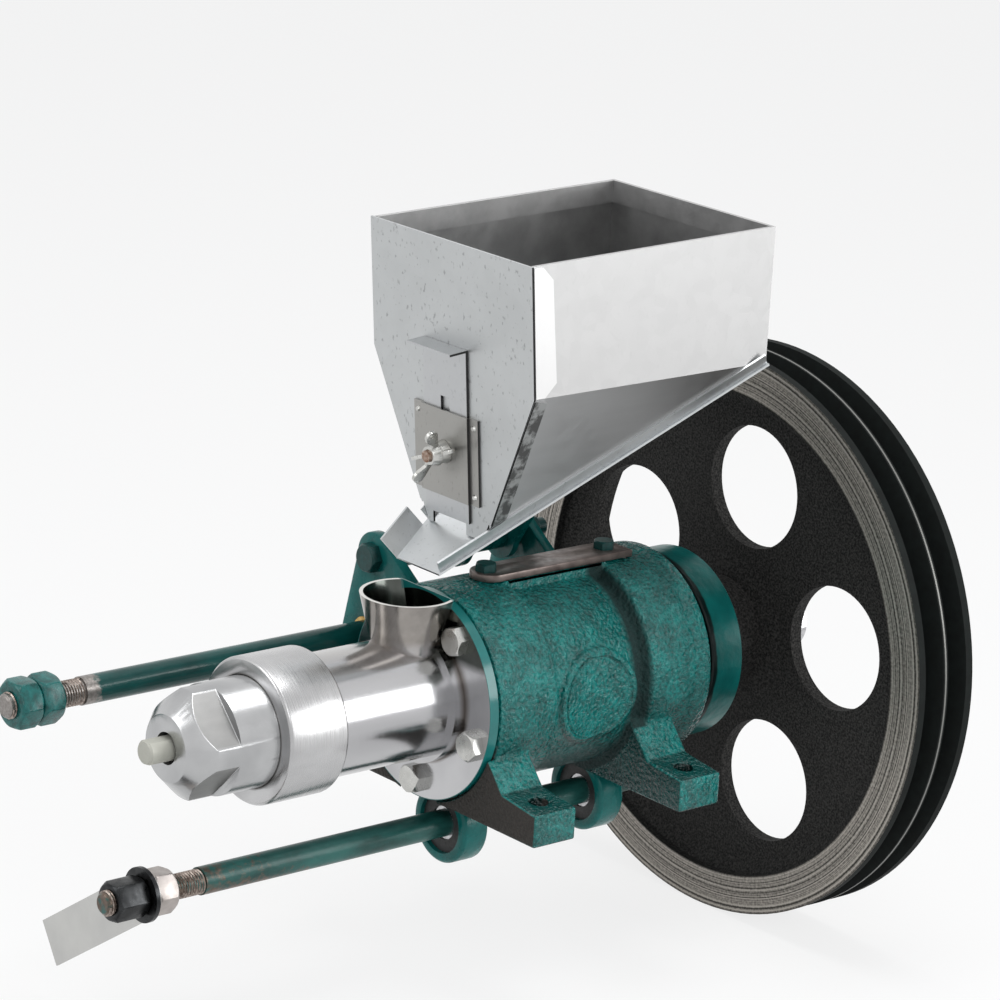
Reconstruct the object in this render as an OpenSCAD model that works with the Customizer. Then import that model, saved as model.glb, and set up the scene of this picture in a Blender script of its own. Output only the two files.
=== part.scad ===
// Puffed food extruder: a screw in a heated barrel, driven by a large belt pulley,
// with a sheet metal hopper above and a knife shaft below. The origin is the centre of
// the four foot bolts on the sole of the feet, the main shaft lies along Y, the die
// looks towards -Y and the pulley is at +Y.

/* [Casting] */
// Height of the main shaft above the sole of the feet
shaft_h = 71; // [68:0.5:80]
// Radius of the two end bands of the casting
band_r = 72; // [70:0.5:76]
// Radius of the waist between the bands
waist_r = 67; // [64:0.5:69]
// Length of the casting
casting_l = 183; // [176:1:190]
// Distance from the foot centre to the front face of the casting
casting_front = 74; // [72:0.5:76]
// Width of the front band
front_band_w = 48; // [44:1:52]
// Width of the rear band, with its lip
rear_band_w = 52; // [48:1:56]
// Width of the groove in front of the rear band
groove_l = 11; // [8:1:13]
// Height of the lip at the rear edge
lip_h = 2; // [1:0.5:4]
// Radius of the relief bore between the bearings
relief_r = 38; // [34:1:41]
// Radius of the plain round pad on each side
pad_r = 33; // [26:1:36]
// Width of the raised ring round the pad
pad_ring_w = 5; // [3:1:8]
// Height of the pad above the waist
pad_h = 1.5; // [1:0.5:2]
// Distance of the pad centre behind the foot centre
pad_y = 13; // [8:1:16]

/* [Feet] */
// Overall width across the feet
feet_w = 236; // [220:1:260]
// Distance between the front and rear foot bolts
foot_pitch_y = 126; // [120:1:132]
// Distance between the left and right foot bolts
foot_pitch_x = 200; // [190:1:206]
// Width of one foot
foot_w = 35; // [30:1:36]
// Thickness of one foot at the bolt
foot_t = 22; // [18:1:28]
// Diameter of a foot bolt hole
foot_hole_d = 13; // [11:0.5:15]

/* [Main bearings] */
// Bore of a main bearing
main_brg_d = 40; // [38:1:42]
// Outside diameter of a main bearing
main_brg_od = 90; // [86:1:94]
// Width of a main bearing
main_brg_w = 23; // [20:1:25]
// Ball diameter of a main bearing
main_ball_d = 15; // [13:0.5:16]
// Number of balls in a main bearing
main_balls = 8; // [7:1:9]
// Distance from the rear face of the casting to the rear bearing
rear_brg_set = 10; // [8:1:12]

/* [Main shaft] */
// Diameter of the shaft between the bearings
shaft_mid_d = 46; // [44:1:50]
// Diameter of the nose of the shaft
shaft_nose_d = 34; // [30:1:36]
// Diameter of the shaft in the pulley
shaft_hub_d = 38; // [35:1:39]
// Diameter of the threaded tail of the shaft
shaft_tail_d = 30; // [24:1:32]
// Diameter of the screw shank in the shaft
shank_d = 18; // [14:1:22]
// Length of the screw shank in the shaft
shank_l = 26; // [20:1:30]
// Side of the key
key_w = 10; // [8:1:12]
// Length of the key
key_l = 40; // [30:1:46]

/* [Barrel] */
// Outside diameter of the barrel
barrel_d = 82.4; // [80:0.2:86]
// Length of the barrel in front of its flange
barrel_l = 122.5; // [118:0.5:130]
// Bore of the barrel
barrel_bore_d = 50; // [46:1:54]
// Diameter of the flange
flange_d = 142; // [138:1:144]
// Thickness of the flange
flange_t = 7; // [6:0.5:9]
// Diameter of the step in front of the flange
step_d = 90; // [86:1:94]
// Length of the step
step_l = 8; // [6:1:10]
// Thickness of the front bearing cover
cover_t = 1.5; // [1.5:0.5:3]
// Number of flange bolts
flange_bolts_n = 5; // [4:1:6]
// Pitch circle radius of the flange bolts
flange_pcr = 58.5; // [56:0.5:59]
// Diameter of a flange bolt
flange_bolt_d = 12; // [10:1:12]
// Length of a flange bolt below its head
flange_bolt_l = 40; // [34:1:44]

/* [Feed port] */
// Distance from the flange face to the centre of the feed port
port_set = 15.5; // [14:0.5:18]
// Radius of the port at its rim
port_r = 32; // [28:0.5:33]
// Radius of the port where it meets the barrel
port_root_r = 20; // [18:0.5:22]
// Height of the rim above the shaft
port_h = 72; // [68:1:76]
// Wall of the port
port_wall = 2.5; // [2:0.5:4]
// Diameter of the feed hole through the liner
feed_d = 28; // [24:1:30]

/* [Nose] */
// Diameter of the union collar
collar_d = 96.8; // [94:0.2:100]
// Length of the union collar
collar_l = 46; // [42:1:50]
// Length of the collar in front of the barrel
collar_over = 20.5; // [18:0.5:24]
// Diameter of the nose
nose_d = 73; // [70:1:76]
// Length of the nose in front of the collar
nose_l = 62.5; // [58:0.5:68]
// Distance across the flats of the nose
nose_af = 60; // [56:1:66]
// Length of the flats
nose_flat_l = 32; // [26:1:36]
// Diameter of the flat front face
nose_face_d = 44; // [38:1:48]
// Diameter of the outlet
outlet_d = 21; // [19:0.5:24]
// Diameter of the core pin
core_d = 16.6; // [15:0.2:18]
// Length of the core pin in front of the nose
core_proud = 16.5; // [12:0.5:18]
// Thickness of the die plate
die_t = 10; // [8:1:12]
// Number of feed holes in the die plate
die_holes = 6; // [4:1:8]
// Diameter of a feed hole in the die plate
die_hole_d = 5; // [3:0.5:6]

/* [Screw] */
// Bore of the liner
liner_bore_d = 36; // [34:1:38]
// Core diameter of the screw
screw_core_d = 22; // [18:1:24]
// Lead of the screw flight
screw_pitch = 21; // [18:1:26]
// Width of the flight at its root
flight_root_w = 9; // [7:0.5:10]
// Width of the flight at its crest
flight_tip_w = 5; // [3:0.5:6]
// Running clearance of the screw in the liner
screw_clear = 0.5; // [0.3:0.1:1]

/* [Pulley] */
// Diameter of the pulley
pulley_d = 400; // [380:5:420]
// Width of the rim
rim_w = 50; // [48:1:56]
// Distance from the foot centre to the front face of the rim
pulley_y = 178; // [176:1:186]
// Depth of the rim below its edge
rim_t = 27; // [24:1:30]
// Thickness of the web
web_t = 10; // [8:1:14]
// Distance from the front face of the rim to the web
web_set = 11; // [9:1:18]
// Number of round openings in the web
web_holes = 5; // [4:1:6]
// Diameter of a round opening
web_hole_d = 86; // [76:1:90]
// Pitch circle radius of the round openings
web_hole_pcr = 108.5; // [104:0.5:112]
// Turn of the round openings
web_hole_turn = 8.5; // [0:0.5:72]
// Diameter of the hub
hub_d = 78; // [70:1:90]
// Length of the hub
hub_l = 62; // [56:1:66]
// Number of belt grooves
grooves = 2; // [1:1:2]
// Distance between belt grooves
groove_pitch = 21; // [20:0.5:22]
// Top width of a belt groove
groove_w = 17; // [15:0.5:17.5]
// Depth of a belt groove
groove_t = 14; // [12:0.5:16]

/* [Knife shaft] */
// Distance of the knife shaft to the right of the main shaft
knife_x = 10; // [6:1:14]
// Depth of the knife shaft below the sole of the feet
knife_z = 19.3; // [18:0.1:22]
// Diameter of the knife shaft
knife_shaft_d = 18.4; // [18:0.2:20]
// Diameter of the journals and the rear end
knife_journal_d = 17; // [15:1:17]
// Outside diameter of a knife shaft bearing
knife_brg_od = 40; // [38:1:42]
// Width of a knife shaft bearing
knife_brg_w = 12; // [11:1:14]
// Ball diameter of a knife shaft bearing
knife_ball_d = 6.7; // [6:0.1:7]
// Number of balls in a knife shaft bearing
knife_balls = 8; // [7:1:9]
// Outside diameter of a bearing ring
ring_d = 54; // [52:1:58]
// Length of a bearing ring
ring_l = 21; // [19:1:24]
// Distance from the foot centre to the middle of each ring
ring_y = 59.5; // [57:0.5:62]
// Length of the knife shaft behind the rear bearing
knife_tail = 38; // [32:1:45]
// Diameter of the drive end of the knife shaft
knife_drive_d = 16; // [14:0.5:16.5]
// Length of the drive end of the knife shaft
knife_drive_l = 24; // [20:1:25]
// Length of the thread at the knife end
knife_thread_l = 74; // [70:1:80]
// Diameter of the thread
knife_thread_d = 15; // [14:0.5:16]
// Length of the knife from its shaft
knife_l = 124; // [116:1:128]
// Width of the knife
knife_w = 31; // [26:1:34]
// Thickness of the knife
knife_t = 2; // [1.5:0.5:2]
// Distance across the flats of the nut in front of the knife
knife_nut_af = 24; // [22:1:30]
// Distance across the flats of the nut behind the knife
knife_back_af = 27; // [24:1:30]
// Gap between the core pin and the knife
knife_gap = 1.5; // [1:0.5:3]
// Angle of the knife at rest
knife_turn = 213.7; // [200:0.1:220]

/* [Upper rod] */
// Distance of the upper rod to the left of the main shaft
rod_x = 90; // [88:1:94]
// Height of the upper rod above the sole of the feet
rod_z = 83; // [80:1:86]
// Diameter of the upper rod
rod_d = 19; // [18:0.5:20]
// Length of the plain rod in front of the foot centre
rod_front = 292; // [280:1:300]
// Length of the thread at its front end
rod_thread_l = 58; // [54:1:64]
// Diameter of that thread
rod_thread_d = 16; // [15:0.5:17]
// Distance across the flats of the lock nuts
nut_af = 30; // [27:1:32]
// Height of a lock nut
nut_h = 16.5; // [14:0.5:17]
// Wall of a bush in a bracket plate
bush_wall = 2.5; // [2:0.5:3]
// Running clearance of the rod in its bushes
rod_clear = 0.08; // [0.05:0.01:0.1]

/* [Bracket] */
// Thickness of a bracket plate
plate_t = 8; // [6:1:8]
// Distance of the tie bolt to the left of the main shaft
tie_x = 84; // [82:1:88]
// Height of the tie bolt above the sole of the feet
tie_z = 139; // [136:1:142]
// Radius of the top of a plate
plate_top_r = 17; // [15:1:19]
// Diameter of the tie bolt
tie_d = 12; // [10:1:12]
// Outside diameter of the spacer tube
tie_tube_d = 20; // [18:1:24]

/* [Top bar] */
// Length of the bar on top of the casting
bar_l = 128; // [124:1:132]
// Width of the bar
bar_w = 26; // [22:1:30]
// Thickness of the bar
bar_t = 5; // [4:0.5:6]
// Distance from the foot centre to the front end of the bar
bar_front = 43; // [40:1:46]
// Distance between the two bar bolts
bar_bolt_pitch = 103; // [98:1:106]
// Diameter of a bar bolt
bar_bolt_d = 8; // [6:1:10]

/* [Hopper] */
// Width of the hopper
hop_w = 161; // [150:1:170]
// Height of the rim above the sole of the feet
hop_top = 375; // [365:1:385]
// Rise of the rim from the front wall to the back wall
back_rise = 5; // [0:1:8]
// Height at which the sides turn inwards
hop_break = 288; // [280:1:296]
// Height of the foot of the front wall
hop_foot = 178.5; // [177:0.5:184]
// Distance from the foot centre to the back wall
hop_back = 131; // [125:1:137]
// Distance from the foot centre forward to the foot of the front wall
hop_front_foot = 60.5; // [58:0.5:63]
// Backward lean of the front wall in degrees
hop_lean = 5.2; // [4:0.1:7]
// Width of the hopper at the foot of the front wall
hop_foot_w = 56; // [52:1:62]
// Thickness of the sheet
sheet_t = 1.5; // [1:0.1:2]
// Width of the corner flanges
corner_w = 18; // [9:1:20]
// Width of the flanges on the lower side panels
lower_w = 12; // [9:1:15]
// Height of the folded hem inside the rim
hem_h = 15; // [10:1:18]
// Height of the flange along the floor
floor_flange = 10.5; // [7:0.5:12]
// Length of the tongue in front of the front wall
tongue_l = 36; // [32:1:39]
// Height of the splayed wing on the left of the tongue
wing_h = 12; // [10:1:16]
// Outward splay of that wing
wing_splay = 10; // [6:1:12]

/* [Gate] */
// Distance of the gate to the left of the middle of the front wall
gate_left = 6; // [0:1:8]
// Width of the outlet in the front wall
gate_w = 34; // [30:1:36]
// Height of the outlet in the front wall
gate_h = 34; // [28:1:36]
// Width of the gate slide
slide_w = 44; // [42:1:46]
// Length of the gate slide
slide_l = 118; // [114:1:124]
// Length of the lip at the top of the slide
slide_lip = 13; // [10:1:16]
// Height of the lower end of the slide above the foot of the wall
slide_up = 10; // [10:1:12]
// Width of the guide with its flanges
guide_w = 65; // [60:1:66]
// Height of the guide
guide_h = 59; // [54:1:62]
// Diameter of the gate stud
stud_d = 8; // [6:0.5:8]
// Sliding clearance of the gate slide
slide_clear = 0.4; // [0.3:0.1:0.6]

/* [Hidden] */
$fn = 48;

// Places along the main shaft
y_front = -casting_front;
y_rear = y_front + casting_l;
y_cover = y_front - cover_t;
y_flange = y_cover - flange_t;
y_barrel = y_flange - barrel_l;
y_collar = y_barrel - collar_over;
y_nose = y_collar - nose_l;
y_port = y_flange - port_set;
spigot = 2;
cover_r = band_r - 3.5;
cover_clear = 0.5;
y_brg1 = y_front + spigot;
y_brg2 = y_rear - rear_brg_set - main_brg_w;
y_rear_band = y_rear - rear_band_w;
main_pitch_r = (main_brg_d + main_brg_od) / 4;

// Nose and die
union_lip = 12.5;
shoulder_l = collar_over - union_lip;
die_set = 26;
y_die = y_nose + die_set;
outlet_l = 12;
liner_d = barrel_bore_d;
y_liner = y_die + die_t;
liner_end = y_flange;
screw_r = liner_bore_d / 2 - screw_clear;
shaft_front = y_cover - 2;
core_tip = y_nose - core_proud;

// Pulley and shaft tail
hub_back = 6;
hub_y = pulley_y + rim_w - hub_back - hub_l;
shaft_tail_l = 26;
nut_tail_h = 20;
tail_washer_t = 4;

// Rear bearing nut
nut_neck_r = 50;
nut_gap = 7.5;
nut_body_l = 28.5;
nut_body_r = 66;
nut_bore_r = 24;

// Bolts of the flange: one nearly straight down, the rest shared out evenly
flange_first = -91;
head_k = 0.64;
head_af = 1.5;
head_room = flange_bolt_d * head_k + 3;
head_clear_d = flange_bolt_d * head_af / cos(30) + 1;

// Knife shaft
knife_pitch_r = (knife_journal_d + knife_brg_od) / 4;
y_knife = core_tip - knife_gap - knife_t;
knife_washer_t = 3;
knife_nut_h = 24;
knife_back_h = 16;
knife_stub = 5;
y_knife_end = y_knife - knife_washer_t - knife_nut_h - knife_stub;

// Top bar
pad_top = band_r;
boss_w = bar_w + 2;
bar_y0 = -bar_front;
bar_bolt_in = 10;

// Bracket plates
plate_y = [y_front + 13, y_rear_band + 4];
plate_left = 116;
plate_low = 66;
rod_tail = 20;
strap_y = [8, 48];

// Hopper
function lean_y(z) = -hop_front_foot - (z - hop_foot) * tan(hop_lean);
floor_run = hop_back + hop_front_foot;
floor_tilt = atan((hop_break - hop_foot) / floor_run);
wall_l = (hop_top - hop_foot) / cos(hop_lean);
floor_l = floor_run / cos(floor_tilt);
function floor_z(y) = hop_foot + (y + hop_front_foot) * tan(floor_tilt);

// Gate
stud_up = 55;
guide_up = 24;
slot_low = 26;
slot_high = 92;
nut_hub_r = 8;
nut_hub_h = 6.5;
joggle = sheet_t + slide_clear;

module along_y(x, y, z) {
    translate([x, y, z]) rotate([-90, 0, 0]) children();
}
module rod_y(x, z, y0, l, d) {
    along_y(x, y0, z) cylinder(h = l, d = d);
}
module tube_y(x, z, y0, l, d, bore) {
    along_y(x, y0, z) difference() {
        cylinder(h = l, d = d);
        translate([0, 0, -1]) cylinder(h = l + 2, d = bore);
    }
}
module turned(profile) {
    along_y(0, 0, shaft_h) rotate_extrude($fn = 96) polygon(profile);
}

// A flat sheet: a convex outline given thickness along one direction
module sheet(outline, way, t) {
    n = len(outline);
    turn = cross(outline[1] - outline[0], outline[2] - outline[0]) * way;
    base = turn < 0 ? outline : [for (i = [n - 1:-1:0]) outline[i]];
    step = way * (t / norm(way));
    polyhedron(points = concat(base, [for (p = base) p + step]),
        faces = concat([[for (i = [n - 1:-1:0]) i]], [[for (i = [n:2 * n - 1]) i]],
            [for (i = [0:n - 1]) [i, (i + 1) % n, n + (i + 1) % n, n + i]]));
}

// A hexagon bolt along Z with the underside of its head at zero
module hex_bolt(d, l, af, k) {
    translate([0, 0, -l]) cylinder(h = l, d = d);
    hex_block(af, k);
}
module hex_block(af, k) {
    intersection() {
        cylinder(h = k, d = af / cos(30), $fn = 6);
        union() {
            cylinder(h = k - 0.12 * af, d = af * 1.2);
            translate([0, 0, k - 0.12 * af]) cylinder(h = 0.12 * af, d1 = af * 1.2, d2 = af * 0.96);
        }
    }
}
module hex_nut(af, k, bore) {
    difference() {
        intersection() {
            hex_block(af, k);
            translate([0, 0, k]) mirror([0, 0, 1]) hex_block(af, k);
        }
        translate([0, 0, -1]) cylinder(h = k + 2, d = bore);
    }
}

// Ball bearing parts along Z, from zero to the width
module ring_outer(od, w, pitch_r, ball) {
    rotate_extrude($fn = 72) difference() {
        translate([pitch_r + ball * 0.32, 0]) square([od / 2 - pitch_r - ball * 0.32, w]);
        translate([pitch_r, w / 2]) circle(d = ball + 0.2);
    }
}
module ring_inner(bore, w, pitch_r, ball) {
    rotate_extrude($fn = 72) difference() {
        translate([bore / 2, 0]) square([pitch_r - ball * 0.32 - bore / 2, w]);
        translate([pitch_r, w / 2]) circle(d = ball + 0.2);
    }
}
module ball_row(w, pitch_r, ball, count) {
    for (i = [0:count - 1]) rotate(i * 360 / count) translate([pitch_r, 0, w / 2]) sphere(d = ball, $fn = 32);
}

foot_slope = 4;
module foot_bar(y) {
    flare = 17;
    rise = 28;
    translate([0, y + foot_w / 2, 0]) rotate([90, 0, 0]) linear_extrude(height = foot_w) polygon([
        [-feet_w / 2, 0], [feet_w / 2, 0], [feet_w / 2, foot_t], [waist_r + flare, foot_t + foot_slope],
        [waist_r - 4, foot_t + rise], [4 - waist_r, foot_t + rise], [-waist_r - flare, foot_t + foot_slope],
        [-feet_w / 2, foot_t]]);
}
module side_pad(r, r_in, h) {
    intersection() {
        translate([0, pad_y, shaft_h]) rotate([0, 90, 0]) difference() {
            cylinder(h = band_r + 4, r = r);
            if (r_in > 0) translate([0, 0, -1]) cylinder(h = band_r + 6, r = r_in);
        }
        turned([[relief_r + 4, y_front + 4], [waist_r + h, y_front + 4], [waist_r + h, y_rear_band],
            [relief_r + 4, y_rear_band]]);
    }
}
module housing() {
    y_step = y_front + front_band_w;
    y_groove = y_rear_band - groove_l;
    color([0.04, 0.42, 0.37]) difference() {
        union() {
            turned([[relief_r, y_front], [band_r, y_front], [band_r, y_step], [waist_r, y_step + 3],
                [waist_r, y_groove], [waist_r - 2.5, y_groove + 4], [waist_r - 2.5, y_rear_band - 4],
                [band_r, y_rear_band + 1], [band_r, y_rear - 12], [band_r + lip_h, y_rear - 10],
                [band_r + lip_h, y_rear - 2], [band_r + lip_h - 2, y_rear], [relief_r, y_rear]]);
            for (s = [-1, 1]) foot_bar(s * foot_pitch_y / 2);
            for (s = [0, 1]) mirror([s, 0, 0]) {
                side_pad(pad_r, 0, pad_h);
                side_pad(pad_r, pad_r - pad_ring_w, pad_h * 2);
            }
            translate([-boss_w / 2, y_step - 2, shaft_h + relief_r])
                cube([boss_w, y_rear_band - y_step + 6, pad_top - relief_r]);
        }
        rod_y(0, shaft_h, y_front - foot_w, foot_w, (band_r + cover_clear) * 2);
        rod_y(0, shaft_h, y_front - 1, casting_l + 2, relief_r * 2);
        rod_y(0, shaft_h, y_front - 1, main_brg_w + spigot + 1, main_brg_od);
        rod_y(0, shaft_h, y_brg2, main_brg_w + rear_brg_set + 1, main_brg_od);
        rod_y(0, shaft_h, y_rear - rear_brg_set, rear_brg_set + 1, nut_neck_r * 2);
        for (i = [0:flange_bolts_n - 1]) flange_at(i)
            rod_y(0, 0, y_front - 1, flange_bolt_l - cover_t - flange_t + 2, flange_bolt_d);
        for (sx = [-1, 1], sy = [-1, 1]) translate([sx * foot_pitch_x / 2, sy * foot_pitch_y / 2, -1])
            cylinder(h = foot_t + foot_slope + 2, d = foot_hole_d);
        for (s = [-1, 1]) rod_y(knife_x, -knife_z, s * ring_y - ring_l / 2, ring_l, ring_d);
        for (b = [0, 1]) translate([0, bar_y0 + bar_bolt_in + b * bar_bolt_pitch, shaft_h + band_r - 22])
            cylinder(h = 30, d = bar_bolt_d);
    }
}
module flange_at(i) {
    a = flange_first + i * 360 / flange_bolts_n;
    translate([flange_pcr * cos(a), 0, shaft_h + flange_pcr * sin(a)]) children();
}
module front_cover() {
    color([0.10, 0.60, 0.55]) difference() {
        union() {
            rod_y(0, shaft_h, y_cover, cover_t, cover_r * 2);
            rod_y(0, shaft_h, y_front, spigot, main_brg_od);
        }
        rod_y(0, shaft_h, y_cover - 1, cover_t + spigot + 2, shaft_nose_d + 2);
        rod_y(0, shaft_h, y_front - 4, spigot + 5, main_brg_od - 16);
        for (i = [0:flange_bolts_n - 1]) flange_at(i)
            rod_y(0, 0, y_cover - 1, cover_t + 2, flange_bolt_d + 0.6);
    }
}
module rear_bearing_nut() {
    color([0.05, 0.45, 0.40]) turned([[nut_bore_r, y_rear - rear_brg_set], [nut_neck_r, y_rear - rear_brg_set],
        [nut_neck_r, y_rear + nut_gap], [nut_body_r - 1, y_rear + nut_gap], [nut_body_r, y_rear + nut_gap + 1],
        [nut_body_r, y_rear + nut_gap + nut_body_l - 2], [nut_body_r - 2, y_rear + nut_gap + nut_body_l],
        [nut_bore_r, y_rear + nut_gap + nut_body_l]]);
}
module main_bearing_outer_rings() {
    color("gray") for (y = [y_brg1, y_brg2]) along_y(0, y, shaft_h)
        ring_outer(main_brg_od, main_brg_w, main_pitch_r, main_ball_d);
}
module main_bearing_balls() {
    color("silver") for (y = [y_brg1, y_brg2]) along_y(0, y, shaft_h)
        ball_row(main_brg_w, main_pitch_r, main_ball_d, main_balls);
}
module main_bearing_inner_rings() {
    color("gray") for (y = [y_brg1, y_brg2]) along_y(0, y, shaft_h)
        ring_inner(main_brg_d, main_brg_w, main_pitch_r, main_ball_d);
}
module key_block(clear) {
    translate([-key_w / 2, hub_y + 8, shaft_h + shaft_hub_d / 2 - 5])
        cube([key_w, key_l, 8 + clear]);
}
module main_shaft() {
    color("silver") difference() {
        union() {
            rod_y(0, shaft_h, shaft_front, y_brg1 - shaft_front, shaft_nose_d);
            rod_y(0, shaft_h, y_brg1, hub_y - 2 - y_brg1, main_brg_d);
            rod_y(0, shaft_h, y_brg1 + main_brg_w, y_brg2 - y_brg1 - main_brg_w, shaft_mid_d);
            rod_y(0, shaft_h, hub_y - 2, hub_l + 2, shaft_hub_d);
            rod_y(0, shaft_h, hub_y + hub_l, shaft_tail_l, shaft_tail_d);
        }
        rod_y(0, shaft_h, shaft_front - 1, shank_l + 3, shank_d);
        key_block(0);
    }
}
module pulley() {
    r = pulley_d / 2;
    web_y = pulley_y + web_set;
    rim_in = r - rim_t;
    gap = (rim_w - (grooves - 1) * groove_pitch) / 2;
    root_w = groove_w - 2 * groove_t * tan(18);
    module rim_profile() {
        difference() {
            union() {
                translate([rim_in, pulley_y]) square([rim_t, rim_w]);
                polygon([[hub_d / 2 - 2, web_y - 4], [hub_d / 2 + 16, web_y], [rim_in - 10, web_y],
                    [rim_in + 2, web_y - 6], [rim_in + 2, web_y + web_t + 6], [rim_in - 10, web_y + web_t],
                    [hub_d / 2 + 16, web_y + web_t], [hub_d / 2 - 2, web_y + web_t + 4]]);
                translate([shaft_hub_d / 2, hub_y]) square([(hub_d - shaft_hub_d) / 2, hub_l]);
            }
            for (i = [0:grooves - 1]) translate([r, pulley_y + gap + i * groove_pitch]) polygon([
                [1, -groove_w / 2 - 0.6], [0, -groove_w / 2], [-groove_t, -root_w / 2],
                [-groove_t, root_w / 2], [0, groove_w / 2], [1, groove_w / 2 + 0.6]]);
        }
    }
    color([0.16, 0.16, 0.17]) difference() {
        along_y(0, 0, shaft_h) rotate_extrude($fn = 120) rim_profile();
        for (i = [0:web_holes - 1]) {
            a = web_hole_turn + i * 360 / web_holes;
            rod_y(web_hole_pcr * cos(a), shaft_h + web_hole_pcr * sin(a), web_y - 10, web_t + 20, web_hole_d);
        }
        translate([-key_w / 2, hub_y - 1, shaft_h]) cube([key_w, hub_l + 2, shaft_hub_d / 2 + 3.3]);
    }
}
module pulley_key() {
    color("gray") key_block(0);
}
module pulley_washer() {
    color("silver") tube_y(0, shaft_h, hub_y + hub_l, tail_washer_t, shaft_tail_d * 2, shaft_tail_d + 1);
}
module pulley_nut() {
    color("silver") along_y(0, hub_y + hub_l + tail_washer_t, shaft_h)
        hex_nut(shaft_tail_d * 1.53, nut_tail_h, shaft_tail_d);
}
module port_solid(grow) {
    translate([0, y_port, shaft_h + 24]) cylinder(h = port_h - 24, r1 = port_root_r + grow,
        r2 = port_r + grow, $fn = 64);
}
module barrel() {
    color([0.80, 0.80, 0.82]) difference() {
        union() {
            rod_y(0, shaft_h, y_barrel, barrel_l + 1, barrel_d);
            rod_y(0, shaft_h, y_flange - step_l, step_l + 1, step_d);
            rod_y(0, shaft_h, y_flange, flange_t, flange_d);
            intersection() {
                port_solid(0);
                translate([-100, y_flange - 100, 0]) cube([200, 100 + 1, 400]);
            }
        }
        rod_y(0, shaft_h, y_barrel - 1, barrel_l + flange_t + 2, barrel_bore_d);
        intersection() {
            translate([0, 0, 0.01]) port_solid(-port_wall);
            translate([-100, y_flange - 100, 0]) cube([200, 100, 400]);
        }
        translate([0, y_port, shaft_h]) cylinder(h = 24.1, r = port_root_r - port_wall, $fn = 64);
        for (i = [0:flange_bolts_n - 1]) flange_at(i) {
            rod_y(0, 0, y_flange - 1, flange_t + 2, flange_bolt_d + 0.6);
            rod_y(0, 0, y_flange - head_room, head_room, head_clear_d);
        }
    }
}
module barrel_liner() {
    color("gray") difference() {
        tube_y(0, shaft_h, y_liner, liner_end - y_liner, liner_d, liner_bore_d);
        translate([0, y_port, shaft_h]) cylinder(h = 60, d = feed_d);
    }
}
module flange_bolts() {
    color("silver") for (i = [0:flange_bolts_n - 1]) flange_at(i)
        translate([0, y_flange, 0]) rotate([90, 0, 0]) rotate(15 + i * 30)
            hex_bolt(flange_bolt_d, flange_bolt_l, flange_bolt_d * head_af, flange_bolt_d * head_k);
}
module union_collar() {
    c = 1.5;
    r = collar_d / 2;
    color([0.82, 0.82, 0.84]) turned([[nose_d / 2 + 0.2, y_collar], [r - c, y_collar], [r, y_collar + c],
        [r, y_collar + collar_l - c], [r - c, y_collar + collar_l], [barrel_d / 2, y_collar + collar_l],
        [barrel_d / 2, y_collar + union_lip], [nose_d / 2 + 0.2, y_collar + union_lip]]);
}
module nose() {
    chamfer = (nose_d - nose_face_d) / 2;
    color([0.82, 0.82, 0.84]) difference() {
        union() {
            turned([[0, y_nose], [nose_face_d / 2, y_nose], [nose_d / 2, y_nose + chamfer],
                [nose_d / 2, y_barrel], [0, y_barrel]]);
            rod_y(0, shaft_h, y_barrel - shoulder_l, shoulder_l, barrel_d - 0.6);
        }
        for (a = [45:90:315]) translate([0, y_nose - 1, shaft_h]) rotate([0, a, 0])
            translate([nose_af / 2, 0, -50]) cube([50, nose_flat_l + 1, 100]);
        rod_y(0, shaft_h, y_nose - 1, outlet_l + 2, outlet_d);
        rod_y(0, shaft_h, y_nose + outlet_l, y_die - y_nose - outlet_l + 1, liner_bore_d);
        rod_y(0, shaft_h, y_die, y_barrel - y_die + 1, barrel_bore_d);
    }
}
module die_plate() {
    flat = core_d / 2 - 1.2;
    color([0.75, 0.74, 0.70]) difference() {
        union() {
            rod_y(0, shaft_h, y_die, die_t, barrel_bore_d);
            rod_y(0, shaft_h, core_tip + 1.2, y_die - core_tip, core_d);
            along_y(0, core_tip, shaft_h) cylinder(h = 1.3, d1 = core_d - 2.4, d2 = core_d);
        }
        for (i = [0:die_holes - 1]) {
            a = i * 360 / die_holes;
            rod_y(13 * cos(a), shaft_h + 13 * sin(a), y_die - 1, die_t + 2, die_hole_d);
        }
        for (s = [0, 1]) translate([0, 0, shaft_h]) mirror([0, 0, s])
            translate([-20, core_tip - 1, flat]) cube([40, core_proud + outlet_l - 2, 20]);
    }
}
function helix_point(r, a, y) = [r * cos(a), r * sin(a), y];
module helical_flight(l, steps) {
    n = round(l / screw_pitch * steps);
    rows = [for (i = [0:n]) let (a = -360 * i / steps, y = screw_pitch * i / steps) [
        helix_point(screw_core_d / 2 - 2, a, y), helix_point(screw_r, a, y + (flight_root_w - flight_tip_w) / 2),
        helix_point(screw_r, a, y + (flight_root_w + flight_tip_w) / 2),
        helix_point(screw_core_d / 2 - 2, a, y + flight_root_w)]];
    polyhedron(points = [for (r = rows) each r],
        faces = concat([[0, 1, 2, 3]], [[4 * n + 3, 4 * n + 2, 4 * n + 1, 4 * n]],
            [for (i = [0:n - 1], k = [0:3]) let (a = 4 * i + k, b = 4 * i + (k + 1) % 4) [b, a, a + 4, b + 4]]));
}
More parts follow.
